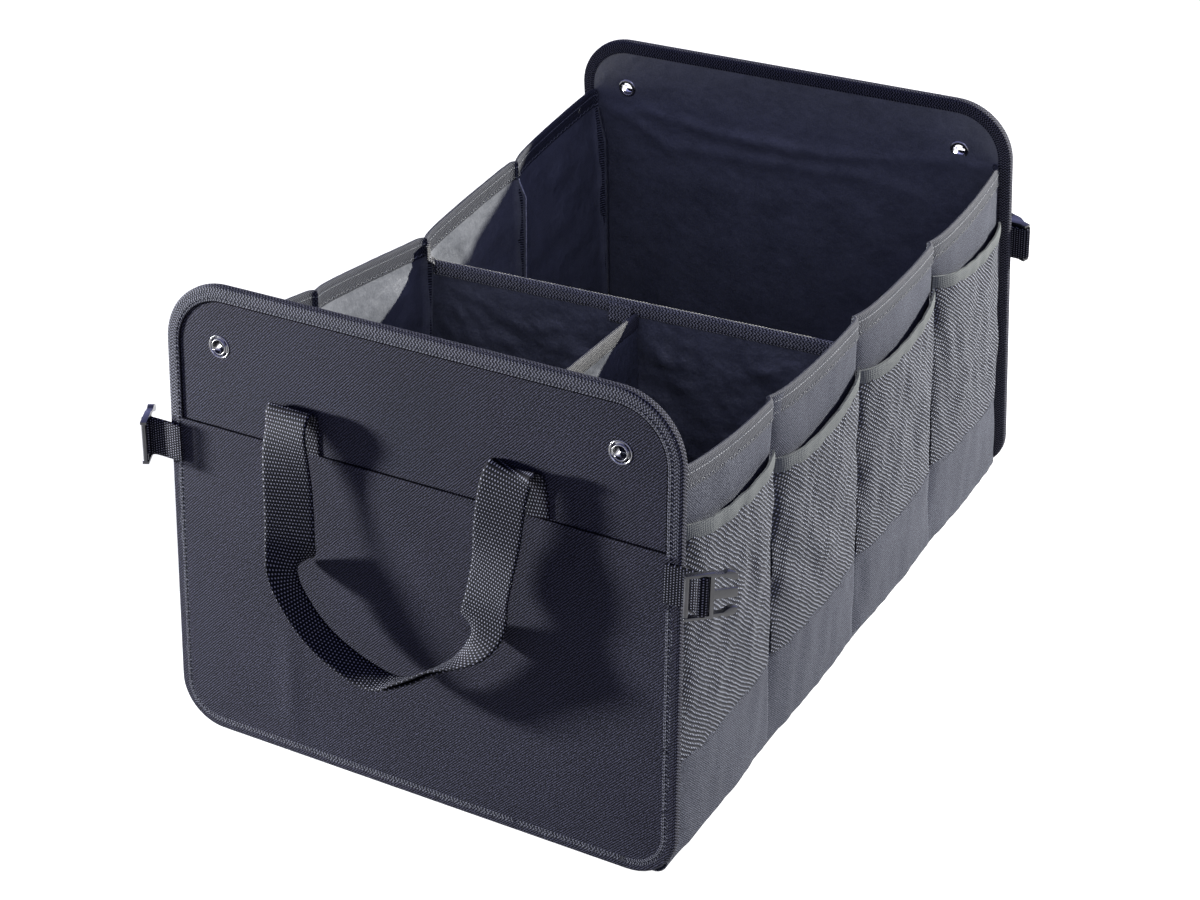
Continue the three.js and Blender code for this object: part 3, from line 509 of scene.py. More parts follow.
WIDE = 9.5
bend = [(1.9 - 1.9 * math.sin(a), 2.1 - 2.1 * math.cos(a)) for a in np.radians(np.linspace(0, 90, 5))]
outer_half = [(WIDE, 0.15), (WIDE - 0.6, -0.05), (6, -0.1), (3.5, 0)] + bend
outer_half += [(x, PANEL_DEPTH - z) for x, z in bend[::-1]]
outer_half += [(3.5, 7.2), (6, 7.35), (WIDE - 0.6, 7.35), (WIDE, 7.1)]
inner_half = [(WIDE, 6.35), (WIDE - 0.5, 6.25), (1.3, 6.25), (0.95, 5.9)]
inner_half += [(0.95, 1.3), (1.3, 0.95), (WIDE - 0.5, 0.95), (WIDE, 0.85)]
for end in ENDS:
    ring_strip(f"{end}_edge_tape_sewn", end, outer_half + inner_half, edge_tape, [f"{end}_edge_tape"])
    for face, depth, step in (("outer", 7.4, 1), ("inner", -0.1, -1)):
        at, _, _ = dense_outline(WIDE - 2.1, 600)
        at = np.r_[at, at[:1]]
        row = on_panel(end, at[:, 0], depth, at[:, 1])
        out = on_panel(end, at[:, 0], depth + step, at[:, 1]) - row
        stitches(f"{end}_tape_stitches_{face}", row, out, dark_thread, 3.4, 2.5, 0.26)
    at, _, _ = dense_outline(WIDE + 0.3, 400)
    at = np.r_[at, at[:1]]
    cord_along(f"{end}_tape_shadow_thread", on_panel(end, at[:, 0], 6.75, at[:, 1]), 0.5, painted_shadow_line)


# Bright eyelets are set through each panel near its upper corners: a rolled flange with its barrel
# outside, and a washer that the barrel is spread over inside.

def plated(name, bright):
    finish = Finish(name, Metallic=1.0, Specular_IOR_Level=0.5)
    place = finish.add("ShaderNodeTexCoord", {}, {}, "Object")
    worn = finish.speckle(place, 240.0, 4.0)
    colours = ((0.3, np.array((0.24, 0.24, 0.25)) * bright), (0.75, np.array((0.44, 0.44, 0.44)) * bright))
    return finish.shade(colours, worn, finish.speckle(place, 90.0), 0.04, Roughness=0.12 + worn * 0.22)


# The eyelets are one plating given at two brightnesses: darkened as painted shade for the front flanges and all
# washers, and brighter as a painted highlight for the rear flanges.
nickel = plated("nickel", 0.75)
nickel_painted_highlight = plated("nickel_painted_highlight", 2.0)


def turned_ring(name, end, sign, profile, replaces, finish):
    """Turns a closed profile of (radius, depth) points about an eyelet's axis."""
    angle = np.radians(np.arange(0, 360, 7.5))
    profile = np.asarray(profile, float)
    x = sign * EYELET_X + np.cos(angle)[:, None] * profile[:, 0]
    h = EYELET_HEIGHT + np.sin(angle)[:, None] * profile[:, 0]
    points = on_panel(end, x, np.broadcast_to(profile[:, 1], x.shape), h)
    sweep(name, points, None, finish, replaces, closed=True, flip=end == "front")


roll = [(4.75 - 0.45 * math.cos(a), 6.9 + 0.45 * math.sin(a)) for a in np.radians(np.linspace(0, 180, 7))]
roll += [(5.4, 6.3), (5.9, 6.1), (6.4, 6.2), (6.8, 6.6), (7.1, 6.85), (7.4, 6.75), (7.6, 6.3)]
flange = [(4.6, -0.1), (4.5, 6.6)] + roll + [(7.5, 5.75), (4.95, 5.75), (4.95, -0.1)]
lip = [(4.95, 0.9), (7.3, 0.9), (7.5, 0.6), (7.2, 0.1), (6.3, -0.25), (5.4, -0.2), (4.98, 0.15)]
for end, plating in (("front", nickel), ("rear", nickel_painted_highlight)):
    for side, sign in SIDES:
        name = f"{end}_{side}_eyelet"
        turned_ring(f"{name}_ring", end, sign, flange, [name], plating)
        turned_ring(f"{name}_back", end, sign, lip, [f"{name}_washer"], nickel)


# Each handle is one length of flat webbing. Its ends are sewn under the lower cloth's edge; it stands up,
# folds over and hangs down in front of the panel, and its grip is doubled along its middle.

def webbing_cloth(name, across_pitch=2.0, row_pitch=2.3):
    finish = Finish(name, Specular_IOR_Level=0.05)
    place, u, v = finish.weave()
    row = u / row_pitch + finish.speckle(place, 0.3) * 0.15
    odd = row.floor() * 0.5
    dash = row.wave() * ((v / across_pitch) + odd).wave()
    fleck = finish.speckle(place, 1.4)
    mask = dash * 1.2 + fleck * 0.5 - 0.3
    colours = ((0.2, (0.0004, 0.0005, 0.0016)), (0.5, (0.002, 0.0022, 0.0045)), (0.95, (0.1, 0.102, 0.122)))
    return finish.shade(colours, mask, dash, 0.22, Roughness=0.7 - dash * 0.1 + fleck * 0.1)


webbing = webbing_cloth("webbing")


def strap(name, path, widths, wide, thick, finish, replaces, columns=9, folded=0.0):
    """Webbing along a path. widths lie across it; folded goes from 0, flat, to 1, doubled along its middle."""
    path, widths = np.asarray(path, float), np.asarray(widths, float)
    along = unit(np.gradient(path, axis=0))
    widths = unit(widths - along * (widths * along).sum(1, keepdims=True))
    face = np.cross(along, widths)
    w = np.linspace(-wide / 2, wide / 2, columns)
    flat = np.r_[w[0] - 0.25, w, w[-1] + 0.25]
    high = thick / 2 * np.r_[0.0, 0.8, np.ones(columns - 2), 0.8, 0.0]
    section = np.array(list(zip(flat, high)) + list(zip(flat[-2:0:-1], -high[-2:0:-1])))
    folded, bend = np.reshape(folded, (-1, 1)), 4.5
    x, y = section[:, 0], section[:, 1]
    turned = np.clip(x, 0, bend)
    angle = math.pi * folded * turned / bend
    aside = np.minimum(x, 0) + turned * np.sinc(angle / math.pi) + np.maximum(x - bend, 0) * np.cos(angle)
    proud = turned * angle / 2 * np.sinc(angle / math.pi / 2) ** 2 + np.maximum(x - bend, 0) * np.sin(angle)
    aside = aside + y * np.sin(angle) + wide * 0.22 * folded
    proud = y * np.cos(angle) - proud
    points = path[:, None, :] + widths[:, None, :] * aside[..., None] + face[:, None, :] * proud[..., None]
    sweep(name, points, (run_along(path), section[:, 0] + 50), finish, replaces, 70, flip=True)


def smooth_curve(points, count):
    """A centripetal curve through points, sampled evenly in its parameter."""
    p = np.asarray(points, float)
    p = np.r_[[2 * p[0] - p[1]], p, [2 * p[-1] - p[-2]]]
    found = []
    for u in np.linspace(0, len(p) - 3 - 1e-9, count):
        i = int(u)
        q = p[i:i + 4]
        k = np.r_[0, np.cumsum(np.sqrt(np.linalg.norm(np.diff(q[:, :3], axis=0), axis=1)) + 1e-9)]
        t = k[1] + (k[2] - k[1]) * (u - i)
        a = [((k[j + 1] - t) * q[j] + (t - k[j]) * q[j + 1]) / (k[j + 1] - k[j]) for j in range(3)]
        b = [((k[j + 2] - t) * a[j] + (t - k[j]) * a[j + 1]) / (k[j + 2] - k[j]) for j in range(2)]
        found.append(((k[2] - t) * b[0] + (t - k[1]) * b[1]) / (k[2] - k[1]))
    return np.array(found)


# Stations along the middle of the handle: x, height, depth, how far it is turned about its length in
# degrees, and how far it is folded.
HANDLE_WIDE = 32
handle_route = [
    (-82.0, 225.3, 6.6, 0, 0), (-82.2, 243, 7.0, 0, 0), (-82.4, 251.6, 9, -1, 0), (-82.6, 255.2, 12.8, -3, 0),
    (-82.6, 252.3, 16.6, -6, 0), (-82.3, 243, 19.2, -8, 0), (-82.0, 228, 20.6, 3, 0), (-80.2, 207, 22, 13, 0),
    (-78.8, 186, 23.5, 16, 0), (-78.4, 172, 24.6, 18, 0), (-79.2, 161, 25.8, 24, 0.2), (-80.2, 152, 27, 34, 0.5),
    (-79.2, 143, 27.8, 43, 0.8), (-76.4, 135.4, 28, 49, 0.96), (-71.2, 127.2, 28, 52, 1), (-63.0, 117.4, 28, 53, 1),
    (-51.4, 108, 28, 53, 1), (-39.0, 101.2, 28, 53, 1), (-23.8, 95.2, 27.8, 57, 1), (-9.5, 93.8, 27.6, 78, 1),
    (1.5, 97.6, 27.4, 98, 1), (14.5, 105, 27.2, 104, 1), (26.5, 114, 27.2, 102, 1), (38, 122, 27, 88, 1),
    (47.4, 129.8, 26.6, 60, 0.9), (54, 138.6, 25.8, 30, 0.5), (58.2, 149, 24.8, 8, 0.1), (60.6, 160, 23.4, 4, 0),
    (62.2, 174, 22.2, 12, 0), (65.2, 194, 21.4, 11, 0), (67.4, 215, 20.6, 0, 0), (69.7, 238, 19.6, -1, 0),
    (71.2, 249.2, 17.6, 0, 0), (72.6, 254.6, 14.4, 1, 0), (74.2, 254.8, 11.0, 1, 0), (75.6, 250, 8.4, 0, 0),
    (76.8, 242, 7.0, 0, 0), (78.5, 225.3, 6.6, 0, 0),
]
route = smooth_curve(handle_route, 260)
s, h, d, turn, folded = route.T
turn, folded = np.radians(turn), np.clip(folded, 0, 1)
ahead = unit(np.gradient(np.stack([s, h], -1), axis=0))
inwards = np.stack([-ahead[:, 1], ahead[:, 0]], -1)
level = np.stack([-np.sign(s), 0 * s], -1)
legs = np.clip((h - 190) / 25, 0, 1)[:, None]
inwards = unit(level * legs + inwards * (1 - legs))
across = inwards * np.cos(turn)[:, None]
for end in ENDS:
    mirror = 1 if end == "front" else -1
    path = on_panel(end, s * mirror, d, h)
    tip = on_panel(end, (s + across[:, 0]) * mirror, d - np.sin(turn), h + across[:, 1])
    strap(
        f"{end}_handle_webbing", path, tip - path, HANDLE_WIDE, 1.6, webbing,
        [f"{end}_handle"], columns=21, folded=folded)


# Webbing tabs are sewn over the tape at both sides of the panels. Each loops round the bar of one half
# of a side-release buckle: plugs at the front, sockets at the rear.

def moulded(name):
    finish = Finish(name, Specular_IOR_Level=0.6, Coat_Roughness=0.15)
    place = finish.add("ShaderNodeTexCoord", {}, {}, "Object")
    grain = finish.speckle(place, 1400.0)
    rubbed = finish.speckle(place, 120.0, 4.0)
    colours = ((0.3, (0.0035, 0.0037, 0.005)), (0.8, (0.009, 0.0095, 0.012)))
    return finish.shade(colours, rubbed, grain, 0.015, Roughness=0.12 + rubbed * 0.14, Coat_Weight=0.35 + rubbed * 0.2)


black_plastic = moulded("black_plastic")
tab_webbing = webbing_cloth("tab_webbing", 1.7, 1.9)
STRAP_HEIGHT, STRAP_FACE, STRAP_WIDE, STRAP_THICK, LOOP = 208, 7.5, 25, 1.3, 2.85
REACH, TAB_SEWN = {"front": 15.5, "rear": 9}, 9.7


def rounded_copy(node, width):
    """The node's own moulding with its edges rounded."""
    mesh = bmesh.new()
    mesh.from_mesh(nodes[node].data)
    bmesh.ops.remove_doubles(mesh, verts=mesh.verts, dist=1e-6)
    bmesh.ops.dissolve_limit(mesh, angle_limit=math.radians(1), verts=mesh.verts, edges=mesh.edges)
    name = f"{node}_moulding"
    data = bpy.data.meshes.new(name)
    mesh.to_mesh(data)
    mesh.free()
    data.materials.clear()
    data.materials.append(black_plastic)
    piece = bpy.data.objects.new(name, data)
    bpy.context.scene.collection.objects.link(piece)
    bevel = piece.modifiers.new("edges", "BEVEL")
    bevel.width, bevel.segments, bevel.angle_limit = width / 1000, 2, math.radians(35)
    bevel.use_clamp_overlap = True
    bpy.context.view_layer.objects.active = piece
    bpy.ops.object.modifier_apply(modifier=bevel.name)
    data.shade_smooth()
    data.set_sharp_from_angle(angle=math.radians(30))
    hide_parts(node)
    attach(piece, node)


for end, half in (("front", "buckle_plug"), ("rear", "buckle_socket")):
    for side, sign in SIDES:
        edge = half_width(STRAP_HEIGHT)
        centre = np.array([edge + REACH[end], STRAP_FACE + LOOP + STRAP_THICK / 2])
        turn = np.radians(np.arange(-90, 181, 15))
        loop = list(zip(centre[0] + LOOP * np.cos(turn), centre[1] + LOOP * np.sin(turn)))
        back = STRAP_FACE + STRAP_THICK * 1.5
        path = [(edge - TAB_SEWN, STRAP_FACE + STRAP_THICK / 2), (edge - 6, STRAP_FACE + STRAP_THICK / 2)] + loop
        path += [(centre[0] - LOOP - 1.2, back), (edge - 6, back + 0.02), (edge - TAB_SEWN, back)]
        path = np.array(path)
        curve = smooth_curve(np.c_[path, 0 * path[:, 0]], 90)
        points = on_panel(end, sign * curve[:, 0], curve[:, 1], STRAP_HEIGHT)
        up = np.broadcast_to(on_panel(end, 0, 0, 1) - on_panel(end, 0, 0, 0), points.shape)
        name = f"{end}_{side}_strap_tab"
        strap(f"{name}_webbing", points, up, STRAP_WIDE, STRAP_THICK - 0.05, tab_webbing, [name])
        rounded_copy(f"{end}_{side}_{half}", 0.5)


# The side walls are cloth and lining gathered at three sewn pleats. Each pleat folds in sharply towards
# the front and comes out slowly towards the rear, and the rims sag between the panels.

SEGMENTS, HEM_LEVEL, RIM_LEVEL, RIM_TAPE = 4, 228, 272, 14
WALLS = {
    "left": dict(sign=-1, sag=28, spread=1.2, pull=5),
    "right": dict(sign=1, sag=14, spread=3, pull=0),
}


def lengthwise(t, z):
    front = 0.3 - (LENGTH / 2 - PANEL_DEPTH * math.cos(LEAN["front"]) - z * math.tan(LEAN["front"]))
    rear = LENGTH / 2 - PANEL_DEPTH * math.cos(LEAN["rear"]) - z * math.tan(LEAN["rear"]) - 0.3
    return front + (rear - front) * t


def rim(side, t):
    return RIM_LEVEL - WALLS[side]["sag"] * (1 - np.abs(2 * t - 1) ** WALLS[side]["spread"])


def reach(side, t, z):
    """How far the middle of a wall's layers lies from the middle of the bag."""
    f = np.where(t >= 1, 1.0, (t * SEGMENTS) % 1)
    taken = np.where(f > 0.5, np.abs(2 * f - 1) ** 40, np.abs(2 * f - 1) ** 7)
    share = (z - WALL_FOOT) / (HEM_LEVEL - WALL_FOOT)
    above = np.clip((z - HEM_LEVEL) / np.maximum(rim(side, t) - RIM_TAPE - HEM_LEVEL, 1), 0, 1)
    depth = np.where(share <= 1, 1.5 + 7.5 * share, 9 - 6 * above)
    pull = WALLS[side]["pull"] * (1 - np.abs(2 * t - 1)) * z / RIM_LEVEL
    return half_width(z) - WALL_INSET - depth * taken + 2 * (1 - (2 * f - 1) ** 2) - pull


def room(t, z):
    f = (t * SEGMENTS) % 1
    return 6 * np.maximum(0, (z - WALL_FOOT) / (HEM_LEVEL - WALL_FOOT)) * (1 - (2 * f - 1) ** 4)


def wall_points(side, t, z, offset):
    t, z, offset = np.broadcast_arrays(np.asarray(t, float), z, offset)
    return np.stack([WALLS[side]["sign"] * (reach(side, t, z) + offset), lengthwise(t, z), z], -1)


def wall_stations(fine=26):
    f = np.unique(np.r_[np.linspace(0, 1, fine), 0.01, 0.03, 0.05, 0.07, 0.94, 0.97, 0.985, 0.995])
    return np.unique(np.round(np.concatenate([(k + f) / SEGMENTS for k in range(SEGMENTS)]), 6))


def wall_layer(name, side, ts, share, low, high, offset, thick, slot, finish, replaces, inward=False):
    """A layer on a side wall between two heights that may change along it."""
    t = ts[:, None] + 0 * share[None, :]
    z = low(t) + (high(t) - low(t)) * share[None, :]
    grid = wall_points(side, t, z, offset(t, z))
    u = lengthwise(t, 130) + 300
    flip = (WALLS[side]["sign"] < 0) != inward
    layer(
        name, grid, thick, slot, finish, replaces, (u, z), flip,
        held="gathered", rests_on=["front_board", "rear_board"])


wall_lining = lining_cloth("wall_lining", 1.0, 1.25)
ts = wall_stations()
tall = np.linspace(0, 1, 64)
for side in WALLS:
    seed = 50 if side == "left" else 60

    def outer_offset(t, z):
        y = lengthwise(t, z)
        return CLOTH_OUT + 0.35 * crumple(y, z, 60, seed) + 0.25 * crumple(y, z, 24, seed + 1, 0, 0.6)

    def inner_offset(t, z):
        y = lengthwise(t, z)
        f = (t * SEGMENTS) % 1
        calm = np.clip((rim(side, t) - 12 - z) / 30, 0, 1) * (1 - np.abs(2 * f - 1) ** 6)
        drape = 1.7 * crumple(y, z, 70, seed + 2, 0.9, 0.5) + 0.7 * crumple(y, z, 26, seed + 3)
        return -CLOTH_OUT - calm * np.maximum(0.0, 1.6 + drape) * 0.8

    foot = lambda t: WALL_FOOT + 0 * t
    top = lambda t: rim(side, t)
    cloth, inner = f"{side}_wall_cloth", f"{side}_wall_lining"
    wall_layer(f"{cloth}_sewn", side, ts, tall, foot, top, outer_offset, 0.8, "twill", canvas, [cloth])
    wall_layer(
        f"{inner}_sewn", side, ts, tall, foot, top, inner_offset, 0.6, "lining", wall_lining, [inner], inward=True)


# A folded woven tape binds each wall's rim. Two rows of pale thread are sewn through it, and the lower
# one is a zigzag.

rim_tape_finish = ribbed_tape("rim_tape", (0.0015, 0.0017, 0.003), (0.072, 0.077, 0.09))
for side in WALLS:
    top = rim(side, ts)
    rows = [(1.35, -RIM_TAPE), (1.5, -13), (1.75, -8), (1.6, -2), (1.5, -0.3), (1.0, 1.0), (0.0, 1.35)]
    rows += [(-1.0, 1.0), (-1.6, -0.3), (-1.7, -2), (-1.85, -8), (-1.6, -13), (-1.45, -RIM_TAPE)]
    rows += [(-1.0, -RIM_TAPE), (-1.05, -1), (1.05, -1), (1.0, -RIM_TAPE)]
    points = np.zeros((len(ts), len(rows), 3))
    for j, (across_wall, drop) in enumerate(rows):
        level = top + min(drop, 0)
        ripple = 0.12 * crumple(ts * 560, 0 * ts, 13, 71) * np.sign(across_wall)
        place = wall_points(side, ts, level, across_wall + ripple)
        place[:, 2] = top + drop
        points[:, j] = place
    weave = lengthwise(ts, 250) + 300, run_along(rows)
    name = f"{side}_rim_tape"
    sweep(f"{name}_sewn", points, weave, rim_tape_finish, [name], flip=side == "left")
    for face, step, offset in (("outer", 1, 1.75), ("inner", -1, -1.85)):
        for row, drop, zigzag in ((1, 3.5, 0), (2, 11.5, 1.7)):
            path = wall_points(side, ts, top - drop, offset)
            out = wall_points(side, ts, top - drop, offset + step) - path
            stitches(f"{side}_rim_stitches_{face}_{row}", path, out, pale_thread, 3.0, 2.7, 0.24, zigzag)


# A plain strip is sewn along the foot of each wall, and four mesh pockets with light elastic hems stand
# open above it, one between each two pleats.

def knitted_mesh(name):
    finish = Finish(name, Specular_IOR_Level=0.25)
    place, u, v = finish.weave()
    wander = finish.speckle(place, 0.045) * 1.6 + finish.speckle(place, 0.22, 1.0) * 0.35
    lean = math.radians(39)
    row = (u * math.sin(lean) + v * math.cos(lean)) / 2.5 + wander
    odd = row.floor() * 0.5
    run = (u * math.cos(lean) - v * math.sin(lean)) / 2.2 + odd + wander * 0.35
    knot = row.wave() * (run.wave() * 0.85 + 0.15)
    fleck = finish.speckle(place, 1.2)
    mask = knot + fleck * 0.7 - 0.43
    colours = ((0.08, (0.0015, 0.002, 0.0045)), (0.42, (0.009, 0.0105, 0.016)), (0.9, (0.25, 0.268, 0.31)))
    return finish.shade(colours, mask, knot, 0.75, Roughness=0.7 + fleck * 0.15)


def woven_elastic(name):
    finish = Finish(name, Specular_IOR_Level=0.2)
    place, u, v = finish.weave()
    check = (u / 1.6).wave() * 0.5 + (v / 1.5).wave() * 0.5
    fleck = finish.speckle(place, 0.9, 3.0)
    colours = ((0.2, (0.022, 0.025, 0.028)), (0.8, (0.078, 0.084, 0.08)))
    return finish.shade(colours, check * 0.5 + fleck * 0.55, check, 0.3, Roughness=0.8 + fleck * 0.1)


mesh_finish = knitted_mesh("pocket_mesh")
elastic = woven_elastic("pocket_elastic")
SKIRT_TOP, HEM, POCKET_OUT, HEM_OUT = 75, 10, 2.05, 2.45
LIFTS = ((10, 0), (-12, -2), (-11, 0), (5, 1))


def hem_top(t, k):
    f = t * SEGMENTS - k
    return HEM_LEVEL + LIFTS[k][0] + (LIFTS[k][1] - LIFTS[k][0]) * f - 5 * np.sin(math.pi * f)


for side in WALLS:
    seed = 80 if side == "left" else 90

    def skirt_offset(t, z):
        y = lengthwise(t, z)
        return POCKET_OUT + room(t, z) + 0.35 * crumple(y, z, 45, seed) + 0.3 * crumple(y, z, 18, seed + 1, 0, 0.4)

    wall_layer(
        f"{side}_skirt_sewn", side, ts, np.linspace(0, 1, 22), lambda t: WALL_FOOT + 0 * t,
        lambda t: SKIRT_TOP + 0.6 + 0 * t, skirt_offset, 0.8, "twill", canvas, [f"{side}_skirt"])
    seam = SKIRT_TOP - 2.2
    path = wall_points(side, ts, seam, POCKET_OUT + room(ts, seam) + 0.1)
    out = wall_points(side, ts, seam, 5) - wall_points(side, ts, seam, 4)
    stitches(f"{side}_skirt_stitches", path, out, dark_thread, 3.4, 2.3, 0.17)
    f = np.unique(np.r_[np.linspace(0.03, 0.97, 40), 0.045, 0.06, 0.955])
    for k in range(SEGMENTS):
        ks = (k + f) / SEGMENTS

        def mesh_offset(t, z):
            y = lengthwise(t, z)
            slack = np.clip((z - SKIRT_TOP) / 40, 0, 1)
            ripples = 0.8 * crumple(y, z, 46, seed + 2 + k, 0.2, 0.7) + 0.4 * crumple(y, z, 15, seed + 7 + k, 0, 0.5)
            return POCKET_OUT + room(t, z) + slack * ripples

        name = f"{side}_pocket_mesh_{k + 1}"
        wall_layer(
            f"{name}_sewn", side, ks, np.linspace(0, 1, 60), lambda t: SKIRT_TOP - 1.5 + 0 * t,
            lambda t: hem_top(t, k) - HEM + 1.5, mesh_offset, 0.7, "mesh", mesh_finish, [name])

        def hem_offset(t, z):
            y = lengthwise(t, z)
            plump = 0.45 * np.sin(math.pi * np.clip((z - hem_top(t, k) + HEM) / HEM, 0, 1))
            return HEM_OUT + room(t, z) + plump + 0.25 * crumple(y, z, 20, seed + 12 + k, 0, 0.3)

        name = f"{side}_pocket_hem_{k + 1}"
        wall_layer(
            f"{name}_sewn", side, ks, np.linspace(0, 1, 9), lambda t: hem_top(t, k) - HEM, lambda t: hem_top(t, k),
            hem_offset, 1.5, "elastic", elastic, [name])


# Inside, thin piping covers the seams of the lining. It is a round cord sewn into each seam, pale at the
# pleats and dark in the corners at the panels.

piping = thread_finish("piping", (0.12, 0.125, 0.13), (0.4, 0.41, 0.42))
for side in WALLS:
    for k in range(1, SEGMENTS):
        t = k / SEGMENTS
        zs = np.linspace(WALL_FOOT + 2, float(rim(side, np.array(t))) - 13, 90)
        wobble = 0.08 * crumple(zs, 0 * zs, 22, 100 + k)
        path = wall_points(side, t, zs, -1.7)
        path[:, 1] += wobble
        cord_along(f"{side}_pleat_piping_{k}", path, 0.55, piping)
    for end, t in (("front", 0.0), ("rear", 1.0)):
        zs = np.linspace(WALL_FOOT + 2, RIM_LEVEL - 15, 60)
        path = wall_points(side, t, zs, -2.7)
        path[:, 1] += 1.1 if end == "front" else -1.1
        cord_along(f"{side}_{end}_corner_piping", path, 0.6, dark_thread)


# The main divider is a limp sheet of lining with a bound top edge. The cross divider runs from it to the
# front panel, and a short tab of webbing fastens its end to the main divider's edge.

LEFT_TOP, RIGHT_TOP, HALF_SPAN, TAPE_WIDE = 228, 236, 170, 10
limp_lining = lining_cloth("limp_lining", 1.9, 1.1, 0.24)
# Painted light: the divider tape is dark grey like the other tapes, and its pale colour stands in for the light that
# brightens it in shade. The cross divider's tab uses it too.
divider_tape = ribbed_tape("divider_tape", (0.006, 0.006, 0.0055), (0.42, 0.42, 0.37), 2.5)
cross_tape = ribbed_tape("cross_tape", (0.004, 0.004, 0.0045), (0.15, 0.152, 0.15))


def divider_y(z):
    return lengthwise(0.5, z)


def divider_top(x):
    return (LEFT_TOP + RIGHT_TOP) / 2 + (RIGHT_TOP - LEFT_TOP) / 2 * x / HALF_SPAN


def main_reach(side, z):
    return reach(side, np.array(0.5), z) - 1.15


def pulls(x, z, corner, towards):
    """Creases that run down from where a top corner is held."""
    down = divider_top(x) - 6 - z
    far = np.hypot(x - corner, down) + 1e-6
    angle = np.degrees(np.arctan2(down, (x - corner) * towards))
    creases = 0
    for at, size in ((24, 2.3), (37, 1.4), (52, 2.0), (70, 1.1)):
        across_crease = (angle - at) * far / 57.3
        creases = creases + size * np.exp(-((across_crease / (3.0 + far * 0.035)) ** 2))
    return creases * np.clip(far / 14, 0, 1) * np.exp(-((far / 95) ** 2))


share = np.linspace(0, 1, 70)
s = np.linspace(-1, 1, 135)
z = 1.3 + share[:, None] * (divider_top(HALF_SPAN * s[None, :]) - 2.3)
left, right = main_reach("left", z), main_reach("right", z)
x = np.where(s[None, :] < 0, s[None, :] * left, s[None, :] * right)
for face, flip, sign, seed in (("front", True, -1, 121), ("rear", False, 1, 131)):
    hold = np.clip((divider_top(x) - TAPE_WIDE - z) / 22, 0, 1) * (1 - np.abs(s[None, :]) ** 10)
    drape = 1.5 * crumple(x, z, 60, seed, 1.0, 0.5) + 0.7 * crumple(x, z, 22, seed + 1, 1.1, 0.7)
    drape = drape + 0.3 * crumple(x, z, 9, seed + 2)
    held = pulls(x, z, -left, 1) + pulls(x, z, right, -1) + pulls(x, z, -1.0, -1) * 0.6 + pulls(x, z, 5.0, 1) * 0.6
    gathers = 0.8 * (1 + np.sin(x / 2.3 + 1.5 * np.sin(x / 17))) * np.clip((x - 8) / 30, 0.25, 1)
    held = held + gathers * np.exp(-(((divider_top(x) - TAPE_WIDE - z) / 34) ** 2))
    bulge = sign * (1.15 + hold * (np.maximum(-0.4, 1.2 + drape) * 0.9 + held))
    grid = np.stack([x, divider_y(z) + bulge, z], -1)
    replaced = ["main_divider"] if face == "front" else []
    layer(
        f"main_divider_{face}_cloth", grid, 1.0, "lining", limp_lining, replaced, (x + 200, z), flip,
        held="hung", rests_on=["left_wall_cloth", "right_wall_cloth"])


def folded_tape(name, stations, put, replaces, seed, finish):
    """A tape folded over a top edge: put(station, across, height) gives its points."""
    half = [(1.55, -TAPE_WIDE), (1.75, -9.2), (1.95, -5), (1.75, -1), (1.2, 0.9)]
    inside = [(-1.25, -TAPE_WIDE), (-1.25, 0.2), (1.25, 0.2), (1.25, -TAPE_WIDE)]
    rows = half + [(0, 1.3)] + [(-x, z) for x, z in half[::-1]] + inside
    points = np.zeros((len(stations), len(rows), 3))
    for j, (across_it, drop) in enumerate(rows):
        ripple = 0.15 * crumple(stations, 0 * stations, 14, seed) * np.sign(across_it)
        points[:, j] = put(stations, across_it + ripple, drop)
    sweep(name, points, (stations + 300, run_along(rows)), finish, replaces)


def main_edge(x, across_it, drop):
    height = divider_top(x) + drop
    return np.stack([x, divider_y(height) + across_it, height], -1)


xs = np.linspace(float(main_reach("right", 215.0)) - 0.5, -float(main_reach("left", 215.0)) + 0.5, 110)
folded_tape("main_divider_tape_sewn", xs, main_edge, ["main_divider_tape"], 141, divider_tape)
for face, step in (("front", -1), ("rear", 1)):
    for row, drop, thread, zigzag in ((1, -1.6, pale_thread, 1.3), (2, -8.2, dark_thread, 0)):
        path = main_edge(xs, step * 1.9, drop)
        out = main_edge(xs, step * 2.9, drop) - path
        stitches(f"main_divider_stitches_{face}_{row}", path, out, thread, 2.6, 2.4, 0.22, zigzag)

CROSS_X, CROSS_TOP = 8, divider_top(6) - 8


def cross_start(z):
    return lengthwise(0.0, z)


def cross_end(z):
    return divider_y(z) - 2.8


zs = np.linspace(4.5, CROSS_TOP - 1, 60)
s = np.linspace(0, 1, 90)
z = zs[:, None] + 0 * s[None, :]
y = cross_start(z) + (cross_end(z) - cross_start(z)) * s[None, :]
for face, sign, seed in (("left", -1, 151), ("right", 1, 161)):
    hold = np.clip((CROSS_TOP - TAPE_WIDE - z) / 20, 0, 1) * (1 - np.abs(2 * s[None, :] - 1) ** 10)
    drape = 1.0 * crumple(y, z, 70, seed, 1.0, 0.4) + 0.3 * crumple(y, z, 22, seed + 1)
    grid = np.stack([CROSS_X + sign * (1.15 + hold * np.maximum(-0.4, 0.9 + drape)), y, z], -1)
    replaced = ["cross_divider"] if face == "right" else []
    layer(
        f"cross_divider_{face}_cloth", grid, 1.0, "lining", limp_lining, replaced, (y + 300, z), sign > 0,
        held="hung", rests_on=["main_divider", "front_board"])


def cross_edge(y_at, across_it, drop):
    height = CROSS_TOP + drop + 0 * y_at
    start, stop = cross_start(height), cross_end(height)
    return np.stack([CROSS_X - across_it + 0 * y_at, start + (stop - start) * (y_at + 300) / 300, height], -1)


ys = np.linspace(-300, 0, 90)
folded_tape("cross_divider_tape_sewn", ys[::-1], cross_edge, ["cross_divider_tape"], 171, cross_tape)
for face, step in (("left", 1), ("right", -1)):
    path = cross_edge(ys, step * 1.9, -8.2)
    out = cross_edge(ys, step * 2.9, -8.2) - path
    stitches(f"cross_divider_stitches_{face}", path, out, dark_thread, 3.3, 2.4, 0.22)

